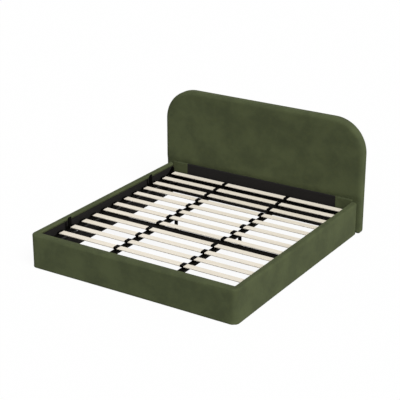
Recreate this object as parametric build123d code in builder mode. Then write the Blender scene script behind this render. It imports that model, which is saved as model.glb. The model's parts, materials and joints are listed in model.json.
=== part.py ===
from build123d import *

import os
from math import atan2, cos, degrees, hypot, sin

# Gas lift storage bed, king size.
# A low upholstered box stands on the floor with a tall padded headboard behind it.
# A steel frame with flat slats lies inside the box and swings up about two pins at its
# head end, carried by a gas strut on each side.
# X runs across the bed, +Y towards the headboard and +Z up. The origin is on the floor, at
# the middle of the whole bed's footprint. All lengths are in millimetres.

os.makedirs("parts", exist_ok=True)

# Overall box
base_width = 2006.0
base_length = 2095.0
panel_height = 302.0
side_panel_thickness = 53.0
foot_panel_thickness = 68.0

# Upholstered panels of the base
board_thickness = 30.0
lining_thickness = 2.0
top_padding = 25.0
foot_corner_radius = 52.0
foot_wrap_length = 76.0
panel_top_radius = 14.0
panel_inner_radius = 7.0
panel_floor_radius = 4.0
glide_height = 2.0
glide_radius = 15.0
side_glide_count = 4
end_glide_count = 3
glide_end_margin = 180.0

# Headboard
headboard_overhang = 33.0
headboard_height = 1049.0
headboard_depth = 84.0
headboard_corner_radius = 308.0
headboard_foot_radius = 24.0
headboard_front_radius = 16.0
headboard_back_radius = 20.0
headboard_rim = 24.0
headboard_foam = 34.0
headboard_ply = 9.0
headboard_frame_depth = 35.0
headboard_frame_rail = 70.0
headboard_cross_height = 80.0
headboard_cross_centre = 170.0
headboard_stile_width = 60.0
headboard_stile_spacing = 1200.0
back_cloth_thickness = 2.0

# Head end panel of the base, in front of the headboard
head_panel_height = 320.0
head_panel_setback = 10.0
corner_pad_width = 162.0
corner_pad_bottom = 190.0
corner_pad_thickness = 4.0
corner_pad_radius = 3.0

# Slats and the rows that they lie in
slat_width = 63.0
slat_thickness = 8.0
slat_edge_radius = 2.0
widest_row_pitch = 157.5
foot_row_setback = 152.5
foot_row_shift = 8.0
head_row_setback = 68.0
slat_seat_height = 220.0

# Slat caps
cap_wall = 2.5
cap_side_wall = 2.2
cap_slat_gap = 0.3
cap_edge_radius = 1.5
cap_corner_radius = 6.0
outer_cap_depth = 24.0
outer_cap_setback = 0.5
outer_cap_floor = 8.0
outer_cap_grip = 20.0
centre_rail_spacing_share = 0.334
double_cap_width = 34.0
double_cap_grip = 12.0
double_cap_inset = 6.5
double_cap_stem_height = 18.0
double_cap_arch = 5.0
double_cap_arch_radius = 12.0
double_cap_stem_width = 16.0
double_cap_stem_length = 40.0

# Steel tubes of the lift frame
tube_wall = 1.5
tube_corner_radius = 3.0
side_rail_gap = 13.0
side_rail_width = 25.0
side_rail_height = 40.0
foot_rail_setback = 80.0
head_rail_setback = 43.0
centre_rail_width = 48.0
centre_rail_height = 27.0
cross_tube_width = 40.0
cross_tube_height = 40.0
cross_tube_drop = 5.0
cross_seam_gap = 0.5
cross_seam_past_midway = 17.0
rows_before_cross_tubes_share = 0.39

# Support legs under the centre rails
leg_place_share = 0.5689
leg_radius = 16.0
leg_inset = 7.0
leg_plate_length = 60.0
leg_plate_thickness = 3.0
leg_foot_radius = 19.5
leg_foot_height = 24.0
leg_foot_sole = 4.5
leg_floor_gap = 0.5

# Ledges and pads that the closed frame rests on
ledge_width = 24.0
ledge_height = 20.0
ledge_hinge_gap = 25.0
rest_gap = 0.3
rest_pad_height = 4.0
rest_pad_radius = 6.0
side_pad_count = 3
foot_pad_count = 3
pad_end_margin = 300.0

# Hinge at the head end
hinge_setback = 36.0
hinge_rise = 28.0
hinge_plate_thickness = 4.0
hinge_plate_lobe = 20.0
hinge_plate_foot_setback = 112.0
hinge_arm_thickness = 3.0
hinge_arm_ear = 14.0
hinge_arm_length = 130.0
hinge_arm_edge = 8.0
hinge_pin_radius = 6.0
running_gap = 0.05
hinge_washer_radius = 16.0
hinge_washer_thickness = 2.5
hinge_washer_gap = 0.5
hinge_head_radius = 9.0
hinge_head_height = 4.0

# Gas struts: the two pivots are given from the hinge axis
strut_inset = 55.0
strut_top_setback = 438.0
strut_top_drop = 56.0
strut_base_setback = 203.0
strut_base_drop = 188.0
strut_tube_radius = 11.0
strut_tube_wall = 1.5
strut_tube_start = 16.0
strut_tube_floor = 6.0
strut_tube_clear = 29.5
strut_gland = 10.0
strut_rod_radius = 4.0
strut_piston_start = 24.0
strut_piston_length = 10.0
strut_eye_radius = 10.0
strut_eye_width = 10.0
strut_neck_radius = 4.4
strut_neck_length = 22.0
strut_stud_radius = 4.0
strut_shoulder_radius = 8.0
strut_side_gap = 0.5
strut_clip_radius = 7.0
strut_clip_thickness = 2.0
strut_bracket_thickness = 4.0
strut_bracket_length = 56.0
strut_bracket_height = 36.0
strut_bracket_hole = 4.6
strut_bracket_corner = 6.0

# Mattress stops on the left side rail
stop_thickness = 3.0
stop_rise = 88.0
stop_prong_rise = 61.0
stop_width = 40.0
stop_prong_width = 11.0
stop_base_width = 78.0
stop_base_rise = 14.0
stop_foot_setback = 457.0
stop_head_setback = 412.0
stop_corner_radius = 5.0

# Corner brackets, bolts and screws
bracket_leg = 48.0
bracket_height = 80.0
bracket_floor_gap = 15.0
bracket_thickness = 4.0
bolt_head_radius = 7.0
bolt_head_height = 4.5
bolt_radius = 3.0
bolt_bite = 20.0
bolt_edge = 18.0
headboard_bolt_spacing_share = 0.2
headboard_bolt_count = 4
headboard_bolt_low = 62.0
tube_bolt_spacing_share = 0.3
tube_bolt_count = 3
screw_head_radius = 5.0
screw_radius = 2.2
screw_length = 26.0
plate_screw_shares = (0.24, 0.62)
ledge_screw_count = 5
ledge_screw_margin = 60.0
ledge_screw_bite = 12.0
fastener_gap = 0.05

# Pull strap at the foot end
strap_width = 40.0
strap_thickness = 2.5
strap_loop_depth = 7.0
strap_height = 108.0
strap_bottom_rise = 8.0

# Places along the bed
headboard_width = base_width + 2 * headboard_overhang
total_length = base_length + headboard_depth
foot_face = -total_length / 2
head_plane = foot_face + base_length
back_face = total_length / 2
foot_inner = foot_face + foot_panel_thickness
foot_board_back = foot_inner - lining_thickness
foot_board_front = foot_board_back - board_thickness
wrap_end = foot_face + foot_wrap_length
head_board_front = head_plane - head_panel_setback
head_board_back = head_board_front + board_thickness
head_lining_front = head_board_front - lining_thickness
row_run = base_length - foot_row_setback - head_row_setback
row_gaps = round(row_run / widest_row_pitch)
row_places = [foot_face + foot_row_setback + row * row_run / row_gaps for row in range(row_gaps + 1)]
row_places[0] -= foot_row_shift
rows_before_tubes = round(rows_before_cross_tubes_share * len(row_places))
row_before = row_places[rows_before_tubes - 1]
row_after = row_places[rows_before_tubes]
cross_seam = (row_before + row_after) / 2 + cross_seam_past_midway
foot_rail_front = foot_face + foot_rail_setback
foot_rail_back = foot_rail_front + side_rail_width
head_rail_back = head_plane - head_rail_setback
head_rail_front = head_rail_back - side_rail_width
leg_place = foot_face + leg_place_share * base_length
hinge_place = head_plane - hinge_setback
strut_top_place = hinge_place - strut_top_setback
strut_base_place = hinge_place - strut_base_setback

# Places across the bed, on the +X side
outer_x = base_width / 2
inner_x = outer_x - side_panel_thickness
board_inner_x = inner_x + lining_thickness
board_outer_x = board_inner_x + board_thickness
ledge_inner_x = inner_x - ledge_width
side_rail_outer = inner_x - side_rail_gap
side_rail_inner = side_rail_outer - side_rail_width
outer_cap_mouth = side_rail_outer - outer_cap_depth
outer_cap_end = side_rail_outer - outer_cap_setback
centre_rail_x = centre_rail_spacing_share * base_width / 2
double_cap_x = centre_rail_x - double_cap_inset
strut_centre = inner_x - strut_inset
plate_face_x = inner_x - hinge_plate_thickness
arm_outer_x = side_rail_outer + hinge_arm_thickness
washer_outer_x = side_rail_outer - hinge_washer_gap
washer_inner_x = washer_outer_x - hinge_washer_thickness
bracket_face_x = side_rail_inner - strut_bracket_thickness
strut_eye_outer = strut_centre + strut_eye_width / 2
strut_eye_inner = strut_centre - strut_eye_width / 2

# Heights
board_top = panel_height - top_padding
slat_top = slat_seat_height + slat_thickness
side_rail_top = slat_seat_height - outer_cap_floor
side_rail_bottom = side_rail_top - side_rail_height
centre_rail_top = slat_seat_height - double_cap_stem_height
centre_rail_bottom = centre_rail_top - centre_rail_height
cross_tube_top = slat_seat_height - cross_tube_drop
cross_tube_bottom = cross_tube_top - cross_tube_height
side_slat_start = double_cap_x + double_cap_width / 2 - double_cap_grip
side_slat_end = outer_cap_mouth + outer_cap_grip
pocket_top = slat_top + cap_slat_gap
cap_top = pocket_top + cap_wall
double_cap_top = cap_top + double_cap_arch
rest_pad_top = side_rail_bottom - rest_gap
ledge_top = rest_pad_top - rest_pad_height
ledge_bottom = ledge_top - ledge_height
hinge_height = slat_seat_height + hinge_rise
strut_top_height = hinge_height - strut_top_drop
strut_base_height = hinge_height - strut_base_drop

# Holes for the fasteners
bolt_hole_radius = bolt_radius + fastener_gap
screw_hole_radius = screw_radius + fastener_gap
screw_top_depth = screw_head_radius - screw_radius

# Closed length and slope of the gas strut, from its base pivot to its top pivot
strut_rise = strut_top_height - strut_base_height
strut_run = strut_top_place - strut_base_place
strut_length = hypot(strut_run, strut_rise)
strut_angle = atan2(strut_rise, strut_run)
strut_direction = (0, cos(strut_angle), sin(strut_angle))
print("closed strut length", round(strut_length, 2), "slope", round(degrees(strut_angle), 2))


def span_box(x_span, y_span, z_span, mode=Mode.ADD):
    """Add or cut a box that reaches between two values along X, Y and Z."""
    x_low, x_high = sorted(x_span)
    y_low, y_high = sorted(y_span)
    z_low, z_high = sorted(z_span)
    with Locations(((x_low + x_high) / 2, (y_low + y_high) / 2, (z_low + z_high) / 2)):
        Box(x_high - x_low, y_high - y_low, z_high - z_low, mode=mode)


def cross_rod(x_span, place, height, radius, mode=Mode.ADD):
    """Add or cut a round rod along X at a place along the bed and a height."""
    x_low, x_high = sorted(x_span)
    with Locations(Location(((x_low + x_high) / 2, place, height), (0, 90, 0))):
        Cylinder(radius, x_high - x_low, mode=mode)


def along_rod(y_span, across, height, radius, mode=Mode.ADD):
    """Add or cut a round rod along Y."""
    y_low, y_high = sorted(y_span)
    with Locations(Location((across, (y_low + y_high) / 2, height), (90, 0, 0))):
        Cylinder(radius, y_high - y_low, mode=mode)


def evenly(low, high, count):
    """Places spread evenly from low to high, both included."""
    return [low + (high - low) * index / (count - 1) for index in range(count)]


def keep(piece, label):
    """Name a finished piece and write it."""
    piece.part.label = label
    export_step(piece.part, f"parts/{label}.step")


def keep_pair(right, label):
    """Write a right-hand piece and its mirror image on the left."""
    with BuildPart() as left:
        mirror(right.part, about=Plane.YZ)
    keep(right, label + "_right")
    keep(left, label + "_left")


def headboard_outline(inset):
    """The headboard's outline, drawn in by an inset, inside the sketch that calls it."""
    low = glide_height + inset
    high = headboard_height - inset
    with Locations((0, (low + high) / 2)):
        outline = Rectangle(headboard_width - 2 * inset, high - low)
    fillet(outline.vertices().group_by(Axis.Y)[-1], headboard_corner_radius - inset)
    fillet(outline.vertices().group_by(Axis.Y)[0], headboard_foot_radius - inset)


def tube_along_y(x_span, y_span, z_span):
    """A hollow rectangular tube along Y."""
    x_low, x_high = x_span
    z_low, z_high = z_span
    with BuildPart() as tube:
        with BuildSketch(Plane.XZ.offset(-y_span[0])):
            with Locations(((x_low + x_high) / 2, (z_low + z_high) / 2)):
                RectangleRounded(x_high - x_low, z_high - z_low, tube_corner_radius)
                Rectangle(
                    x_high - x_low - 2 * tube_wall, z_high - z_low - 2 * tube_wall, mode=Mode.SUBTRACT
                )
        extrude(amount=y_span[1] - y_span[0], dir=(0, 1, 0))
    return tube


def tube_along_x(x_span, y_span, z_span):
    """A hollow rectangular tube along X."""
    y_low, y_high = y_span
    z_low, z_high = z_span
    with BuildPart() as tube:
        with BuildSketch(Plane.YZ.offset(x_span[0])):
            with Locations(((y_low + y_high) / 2, (z_low + z_high) / 2)):
                RectangleRounded(y_high - y_low, z_high - z_low, tube_corner_radius)
                Rectangle(
                    y_high - y_low - 2 * tube_wall, z_high - z_low - 2 * tube_wall, mode=Mode.SUBTRACT
                )
        extrude(amount=x_span[1] - x_span[0])
    return tube


# Where the fasteners go
ledge_end = strut_base_place - ledge_hinge_gap - hinge_plate_lobe
ledge_middle = (ledge_bottom + ledge_top) / 2
ledge_screw_places = evenly(
    foot_inner + ledge_screw_margin,
    ledge_end - ledge_screw_margin,
    ledge_screw_count,
)
plate_lobes = (
    (hinge_place, hinge_height),
    (strut_base_place, strut_base_height),
    (hinge_place - hinge_plate_foot_setback, strut_base_height),
)
plate_screw_places = [
    (
        first[0] + share * (second[0] - first[0]),
        first[1] + share * (second[1] - first[1]),
    )
    for first, second in zip(plate_lobes, plate_lobes[1:] + plate_lobes[:1])
    for share in plate_screw_shares
]
bracket_low = glide_height + bracket_floor_gap
bracket_high = bracket_low + bracket_height
bracket_corners = ((foot_inner, 1), (head_lining_front, -1))
bracket_bolt_heights = (bracket_low + bolt_edge, bracket_high - bolt_edge)
bracket_bolt_across = inner_x - bracket_leg + bolt_edge
headboard_bolt_reach = headboard_bolt_spacing_share * base_width * (headboard_bolt_count - 1) / 2
headboard_bolt_across = evenly(-headboard_bolt_reach, headboard_bolt_reach, headboard_bolt_count)
headboard_bolt_heights = (headboard_bolt_low, headboard_cross_centre)
core_front = head_plane + headboard_foam
ply_back = core_front + headboard_ply
frame_back = ply_back + headboard_frame_depth


def wood_screw_shanks(radius, mode=Mode.ADD):
    """The right-hand screws' shanks, through the ledge and the hinge plate into the side board."""
    for place in ledge_screw_places:
        cross_rod((ledge_inner_x, inner_x + ledge_screw_bite), place, ledge_middle, radius, mode)
    for place, height in plate_screw_places:
        cross_rod((plate_face_x, plate_face_x + screw_length), place, height, radius, mode)


def side_bolt_shanks(radius, mode=Mode.ADD):
    """The right-hand corner bolts' shanks, through the brackets into the side board."""
    for corner, inward in bracket_corners:
        for height in bracket_bolt_heights:
            place = corner + inward * (bracket_leg - bolt_edge)
            cross_rod((inner_x - bracket_thickness, inner_x + bolt_bite), place, height, radius, mode)


def end_bolt_shanks(radius, mode=Mode.ADD):
    """The corner bolts' shanks on both sides, through the brackets into the end boards."""
    for corner, inward in bracket_corners:
        for height in bracket_bolt_heights:
            for across in (-bracket_bolt_across, bracket_bolt_across):
                span = (corner - inward * bolt_bite, corner + inward * bracket_thickness)
                along_rod(span, across, height, radius, mode)


def headboard_bolt_shanks(radius, mode=Mode.ADD):
    """The shanks of the bolts from the head end panel into the headboard's frame."""
    for across in headboard_bolt_across:
        for height in headboard_bolt_heights:
            along_rod((head_lining_front, ply_back + bolt_bite), across, height, radius, mode)


# Side panel: board, padded velvet over its outside and top, cloth lining inside
with BuildPart() as side_board:
    span_box((board_inner_x, board_outer_x), (foot_board_back, head_plane), (glide_height, board_top))
    wood_screw_shanks(screw_hole_radius, Mode.SUBTRACT)
    side_bolt_shanks(bolt_hole_radius, Mode.SUBTRACT)
keep_pair(side_board, "side_board")

with BuildPart() as side_upholstery:
    with BuildSketch(Plane.XZ.offset(-wrap_end)) as side_section:
        with BuildLine():
            Polyline(
                (board_outer_x, glide_height),
                (outer_x, glide_height),
                (outer_x, panel_height),
                (inner_x, panel_height),
                (inner_x, board_top),
                (board_outer_x, board_top),
                close=True,
            )
        make_face()
        top_corners = side_section.vertices().group_by(Axis.Y)[-1].sort_by(Axis.X)
        fillet(top_corners[-1], panel_top_radius)
        fillet(side_section.vertices().group_by(Axis.Y)[-1].sort_by(Axis.X)[0], panel_inner_radius)
        fillet(side_section.vertices().group_by(Axis.Y)[0].sort_by(Axis.X)[-1], panel_floor_radius)
    extrude(amount=head_plane - wrap_end, dir=(0, 1, 0))
keep_pair(side_upholstery, "side_upholstery")

with BuildPart() as side_lining:
    span_box((inner_x, board_inner_x), (foot_inner, head_lining_front), (glide_height, board_top))
    wood_screw_shanks(screw_hole_radius, Mode.SUBTRACT)
    side_bolt_shanks(bolt_hole_radius, Mode.SUBTRACT)
keep_pair(side_lining, "side_lining")

# Foot panel, whose velvet wraps round both rounded corners of the base
with BuildPart() as foot_board:
    span_box(
        (-board_outer_x, board_outer_x),
        (foot_board_front, foot_board_back),
        (glide_height, board_top),
    )
    end_bolt_shanks(bolt_hole_radius, Mode.SUBTRACT)
keep(foot_board, "foot_board")

with BuildPart() as foot_upholstery:
    with BuildSketch(Plane.XY.offset(glide_height)) as foot_plan:
        with BuildLine():
            Polyline(
                (-outer_x, wrap_end),
                (-outer_x, foot_face),
                (outer_x, foot_face),
                (outer_x, wrap_end),
                (inner_x, wrap_end),
                (inner_x, foot_inner),
                (-inner_x, foot_inner),
                (-inner_x, wrap_end),
                close=True,
            )
        make_face()
        fillet(foot_plan.vertices().group_by(Axis.Y)[0], foot_corner_radius)
    extrude(amount=panel_height - glide_height)
    top_face = foot_upholstery.faces().sort_by(Axis.Z)[-1]
    outer_edges = top_face.edges().filter_by(
        lambda edge: abs(edge.center().X) > board_outer_x or edge.center().Y < foot_board_front
    )
    fillet(outer_edges, panel_top_radius)
    bottom_face = foot_upholstery.faces().sort_by(Axis.Z)[0]
    floor_edges = bottom_face.edges().filter_by(
        lambda edge: abs(edge.center().X) > board_outer_x or edge.center().Y < foot_board_front
    )
    fillet(floor_edges, panel_floor_radius)
    top_face = foot_upholstery.faces().sort_by(Axis.Z)[-1]
    inner_edges = top_face.edges().filter_by(
        lambda edge: foot_board_front < edge.center().Y < (foot_inner + wrap_end) / 2
        or abs(abs(edge.center().X) - inner_x) < lining_thickness
    )
    fillet(inner_edges, panel_inner_radius)
    span_box(
        (-board_outer_x, board_outer_x),
        (foot_board_front, wrap_end),
        (glide_height, board_top),
        Mode.SUBTRACT,
    )
keep(foot_upholstery, "foot_upholstery")

with BuildPart() as foot_lining:
    span_box((-inner_x, inner_x), (foot_board_back, foot_inner), (glide_height, board_top))
    end_bolt_shanks(bolt_hole_radius, Mode.SUBTRACT)
keep(foot_lining, "foot_lining")

# Head end panel: board, cloth lining cut out round the two velvet corner pads
with BuildPart() as head_board:
    span_box((-inner_x, inner_x), (head_board_front, head_board_back), (glide_height, head_panel_height))
    end_bolt_shanks(bolt_hole_radius, Mode.SUBTRACT)
    headboard_bolt_shanks(bolt_hole_radius, Mode.SUBTRACT)
keep(head_board, "head_end_board")

pad_inner_x = inner_x - corner_pad_width
with BuildPart() as head_lining:
    span_box(
        (-inner_x, inner_x),
        (head_lining_front, head_board_front),
        (glide_height, corner_pad_bottom),
    )
    span_box(
        (-pad_inner_x, pad_inner_x),
        (head_lining_front, head_board_front),
        (corner_pad_bottom, head_panel_height),
    )
    end_bolt_shanks(bolt_hole_radius, Mode.SUBTRACT)
    headboard_bolt_shanks(bolt_hole_radius, Mode.SUBTRACT)
keep(head_lining, "head_lining")

with BuildPart() as corner_pads:
    span_box(
        (pad_inner_x, inner_x),
        (head_board_front - corner_pad_thickness, head_board_front),
        (corner_pad_bottom, head_panel_height),
    )
    pad_front = corner_pads.faces().sort_by(Axis.Y)[0]
    fillet(pad_front.edges(), corner_pad_radius)
    mirror(about=Plane.YZ)
keep(corner_pads, "head_corner_pads")

# Headboard: padded velvet shell, plywood face, timber frame and back cloth
with BuildPart() as headboard_upholstery:
    with BuildSketch(Plane.XZ.offset(-head_plane)):
        headboard_outline(0)
    extrude(amount=headboard_depth, dir=(0, 1, 0))
    fillet(headboard_upholstery.faces().sort_by(Axis.Y)[0].edges(), headboard_front_radius)
    fillet(headboard_upholstery.faces().sort_by(Axis.Y)[-1].edges(), headboard_back_radius)
    with BuildSketch(Plane.XZ.offset(-core_front)):
        headboard_outline(headboard_rim)
    extrude(amount=back_face - core_front, dir=(0, 1, 0), mode=Mode.SUBTRACT)
    span_box(
        (-inner_x, inner_x),
        (head_plane, head_board_back),
        (glide_height, head_panel_height),
        Mode.SUBTRACT,
    )
    headboard_bolt_shanks(bolt_hole_radius, Mode.SUBTRACT)
keep(headboard_upholstery, "headboard_upholstery")

with BuildPart() as headboard_face:
    with BuildSketch(Plane.XZ.offset(-core_front)):
        headboard_outline(headboard_rim)
    extrude(amount=headboard_ply, dir=(0, 1, 0))
    headboard_bolt_shanks(bolt_hole_radius, Mode.SUBTRACT)
keep(headboard_face, "headboard_plywood")

frame_low = glide_height + headboard_rim
frame_high = headboard_height - headboard_rim
frame_inner_width = headboard_width - 2 * headboard_rim - 2 * headboard_frame_rail
with BuildPart() as headboard_frame:
    with BuildSketch(Plane.XZ.offset(-ply_back)):
        headboard_outline(headboard_rim)
        opening_low = frame_low + headboard_frame_rail
        opening_high = frame_high - headboard_frame_rail
        with Locations((0, (opening_low + opening_high) / 2)):
            opening = Rectangle(frame_inner_width, opening_high - opening_low, mode=Mode.PRIVATE)
        opening_radius = headboard_corner_radius - headboard_rim - headboard_frame_rail
        rounded_opening = fillet(opening.vertices().group_by(Axis.Y)[-1], opening_radius)
        add(rounded_opening, mode=Mode.SUBTRACT)
        with Locations((0, headboard_cross_centre)):
            Rectangle(frame_inner_width, headboard_cross_height)
        with GridLocations(headboard_stile_spacing, 0, 2, 1):
            with Locations((0, (opening_low + opening_high) / 2)):
                Rectangle(headboard_stile_width, opening_high - opening_low)
    extrude(amount=headboard_frame_depth, dir=(0, 1, 0))
    headboard_bolt_shanks(bolt_hole_radius, Mode.SUBTRACT)
keep(headboard_frame, "headboard_frame")

with BuildPart() as back_cloth:
    with BuildSketch(Plane.XZ.offset(-frame_back)):
        headboard_outline(headboard_rim)
    extrude(amount=back_cloth_thickness, dir=(0, 1, 0))
keep(back_cloth, "headboard_back_cloth")

# Floor glides under the boards and the headboard
board_middle_x = (board_inner_x + board_outer_x) / 2
side_glides = evenly(foot_face + glide_end_margin, head_plane - glide_end_margin, side_glide_count)
end_glides = evenly(-outer_x + glide_end_margin, outer_x - glide_end_margin, end_glide_count)
glide_places = [(side * board_middle_x, place) for side in (-1, 1) for place in side_glides]
glide_places += [(across, (foot_board_front + foot_board_back) / 2) for across in end_glides]
glide_places += [(across, (head_plane + back_face) / 2) for across in end_glides]
with BuildPart() as floor_glides:
    with BuildSketch(Plane.XY):
        with Locations(*glide_places):
            Circle(glide_radius)
    extrude(amount=glide_height)
keep(floor_glides, "floor_glides")

# Ledges round the inside, with pads that the closed frame rests on
with BuildPart() as ledges:
    span_box((ledge_inner_x, inner_x), (foot_inner, ledge_end), (ledge_bottom, ledge_top))
    wood_screw_shanks(screw_hole_radius, Mode.SUBTRACT)
    mirror(about=Plane.YZ)
    foot_end = (-ledge_inner_x + running_gap, ledge_inner_x - running_gap)
    span_box(foot_end, (foot_inner, foot_inner + ledge_width), (ledge_bottom, ledge_top))
keep(ledges, "ledges")

side_pad_x = (ledge_inner_x + side_rail_outer) / 2
foot_pad_place = (foot_rail_front + foot_inner + ledge_width) / 2
side_pads = evenly(foot_inner + pad_end_margin, ledge_end - pad_end_margin, side_pad_count)
foot_pads = evenly(-ledge_inner_x + pad_end_margin, ledge_inner_x - pad_end_margin, foot_pad_count)
pad_places = [(side * side_pad_x, place) for side in (-1, 1) for place in side_pads]
pad_places += [(across, foot_pad_place) for across in foot_pads]
with BuildPart() as rest_pads:
    with BuildSketch(Plane.XY.offset(ledge_top)):
        with Locations(*pad_places):
            Circle(rest_pad_radius)
    extrude(amount=rest_pad_height)
keep(rest_pads, "rest_pads")

# Angle brackets in the four corners of the base
with BuildPart() as corner_brackets:
    for corner, inward in bracket_corners:
        leg_end = corner + inward * bracket_leg
        span_box((inner_x - bracket_thickness, inner_x), (corner, leg_end), (bracket_low, bracket_high))
        span_box(
            (inner_x - bracket_leg, inner_x),
            (corner, corner + inward * bracket_thickness),
            (bracket_low, bracket_high),
        )
    side_bolt_shanks(bolt_hole_radius, Mode.SUBTRACT)
    end_bolt_shanks(bolt_hole_radius, Mode.SUBTRACT)
    mirror(about=Plane.YZ)
keep(corner_brackets, "corner_brackets")

# Bolts that hold the corner brackets and the headboard
with BuildPart() as panel_bolts:
    for corner, inward in bracket_corners:
        inner_face = inner_x - bracket_thickness
        end_face = corner + inward * bracket_thickness
        side_place = corner + inward * (bracket_leg - bolt_edge)
        for height in bracket_bolt_heights:
            cross_rod((inner_face - bolt_head_height, inner_face), side_place, height, bolt_head_radius)
            span = (end_face, end_face + inward * bolt_head_height)
            along_rod(span, bracket_bolt_across, height, bolt_head_radius)
    side_bolt_shanks(bolt_radius)
    mirror(about=Plane.YZ)
    end_bolt_shanks(bolt_radius)
    for across in headboard_bolt_across:
        for height in headboard_bolt_heights:
            along_rod(
                (head_lining_front - bolt_head_height, head_lining_front),
                across,
                height,
                bolt_head_radius,
            )
    headboard_bolt_shanks(bolt_radius)
keep(panel_bolts, "panel_bolts")

# Hinge plate on each side panel, carrying the hinge pin and the strut's lower stud
with BuildPart() as hinge_plate:
    with BuildSketch(Plane.YZ.offset(plate_face_x)):
        with Locations(*plate_lobes):
            Circle(hinge_plate_lobe)
        make_hull()
    extrude(amount=hinge_plate_thickness)
    wood_screw_shanks(screw_hole_radius, Mode.SUBTRACT)
    for place, height in plate_screw_places:
        with Locations(Location((plate_face_x + screw_top_depth / 2, place, height), (0, 90, 0))):
            Cone(
                screw_head_radius + fastener_gap,
                screw_hole_radius,
                screw_top_depth,
                mode=Mode.SUBTRACT,
            )
keep_pair(hinge_plate, "hinge_plate")

# Wood screws that hold the ledges and the hinge plates
with BuildPart() as wood_screws:
    wood_screw_shanks(screw_radius)
    for place in ledge_screw_places:
        cross_rod((ledge_inner_x - screw_radius, ledge_inner_x), place, ledge_middle, screw_head_radius)
    for place, height in plate_screw_places:
        with Locations(Location((plate_face_x + screw_top_depth / 2, place, height), (0, 90, 0))):
            Cone(screw_head_radius, screw_radius, screw_top_depth)
    mirror(about=Plane.YZ)
keep(wood_screws, "wood_screws")

with BuildPart() as hinge_pins:
    cross_rod((washer_inner_x, plate_face_x), hinge_place, hinge_height, hinge_pin_radius)
    cross_rod(
        (washer_inner_x - hinge_head_height, washer_inner_x),
        hinge_place,
        hinge_height,
        hinge_head_radius,
    )
    pin_tip = hinge_pins.faces().filter_by(Axis.X).sort_by(Axis.X)[0]
    fillet(pin_tip.edges(), hinge_head_height / 2)
    mirror(about=Plane.YZ)
keep(hinge_pins, "hinge_pins")

with BuildPart() as hinge_washers:
    cross_rod((washer_inner_x, washer_outer_x), hinge_place, hinge_height, hinge_washer_radius)
    cross_rod(
        (washer_inner_x, washer_outer_x),
        hinge_place,
        hinge_height,
        hinge_pin_radius + running_gap,
        Mode.SUBTRACT,
    )
    mirror(about=Plane.YZ)
keep(hinge_washers, "hinge_washers")

stud_end = strut_eye_inner - strut_side_gap
with BuildPart() as strut_studs:
    cross_rod(
        (strut_eye_outer + strut_side_gap, plate_face_x),
        strut_base_place,
        strut_base_height,
        strut_shoulder_radius,
    )
    cross_rod(
        (stud_end - strut_clip_thickness, strut_eye_outer + strut_side_gap),
        strut_base_place,
        strut_base_height,
        strut_stud_radius,
    )
    cross_rod(
        (stud_end - strut_clip_thickness, stud_end),
        strut_base_place,
        strut_base_height,
        strut_clip_radius,
    )
    mirror(about=Plane.YZ)
keep(strut_studs, "strut_studs")

# Lift frame: outer tubes, two cross tubes side by side, and two centre rails
side_rail = tube_along_y(
    (side_rail_inner, side_rail_outer),
    (foot_rail_front, head_rail_back),
    (side_rail_bottom, side_rail_top),
)
keep_pair(side_rail, "side_rail")

across_frame = (-side_rail_inner, side_rail_inner)
foot_rail = tube_along_x(
    across_frame,
    (foot_rail_front, foot_rail_back),
    (side_rail_bottom, side_rail_top),
)
keep(foot_rail, "foot_rail")

head_rail = tube_along_x(
    across_frame,
    (head_rail_front, head_rail_back),
    (side_rail_bottom, side_rail_top),
)
keep(head_rail, "head_rail")

tube_bolt_reach = tube_bolt_spacing_share * base_width
tube_bolt_across = evenly(-tube_bolt_reach, tube_bolt_reach, tube_bolt_count)
cross_middle = (cross_tube_bottom + cross_tube_top) / 2
foot_tube_span = (cross_seam - cross_seam_gap / 2 - cross_tube_width, cross_seam - cross_seam_gap / 2)
head_tube_span = (cross_seam + cross_seam_gap / 2, cross_seam + cross_seam_gap / 2 + cross_tube_width)
for span, label in ((foot_tube_span, "foot_cross_tube"), (head_tube_span, "head_cross_tube")):
    plain_tube = tube_along_x(across_frame, span, (cross_tube_bottom, cross_tube_top))
    with BuildPart() as cross_tube:
        add(plain_tube.part)
        for across in tube_bolt_across:
            along_rod(span, across, cross_middle, bolt_hole_radius, Mode.SUBTRACT)
    keep(cross_tube, label)

with BuildPart() as cross_tube_bolts:
    for across in tube_bolt_across:
        along_rod(
            (foot_tube_span[0] - bolt_head_height, foot_tube_span[0]),
            across,
            cross_middle,
            bolt_head_radius,
        )
        along_rod((foot_tube_span[0], head_tube_span[1]), across, cross_middle, bolt_radius)
        along_rod(
            (head_tube_span[1], head_tube_span[1] + bolt_head_height),
            across,
            cross_middle,
            bolt_head_radius,
        )
keep(cross_tube_bolts, "cross_tube_bolts")

rail_edges = (centre_rail_x - centre_rail_width / 2, centre_rail_x + centre_rail_width / 2)
rail_heights = (centre_rail_bottom, centre_rail_top)
foot_centre_rail = tube_along_y(rail_edges, (foot_rail_back, foot_tube_span[0]), rail_heights)
head_centre_rail = tube_along_y(rail_edges, (head_tube_span[1], head_rail_front), rail_heights)
with BuildPart() as centre_rail:
    add(foot_centre_rail.part)
    add(head_centre_rail.part)
keep_pair(centre_rail, "centre_rail")

# Support legs under the centre rails, with rubber feet
leg_across = centre_rail_x - leg_inset
leg_top = centre_rail_bottom - leg_plate_thickness
leg_bottom = leg_floor_gap + leg_foot_sole
with BuildPart() as support_legs:
    with BuildSketch(Plane.XY.offset(leg_bottom)):
        with Locations((leg_across, leg_place)):
            Circle(leg_radius)
            Circle(leg_radius - tube_wall, mode=Mode.SUBTRACT)
    extrude(amount=leg_top - leg_bottom)
    span_box(
        rail_edges,
        (leg_place - leg_plate_length / 2, leg_place + leg_plate_length / 2),
        (leg_top, centre_rail_bottom),
    )
    mirror(about=Plane.YZ)
keep(support_legs, "support_legs")

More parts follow.
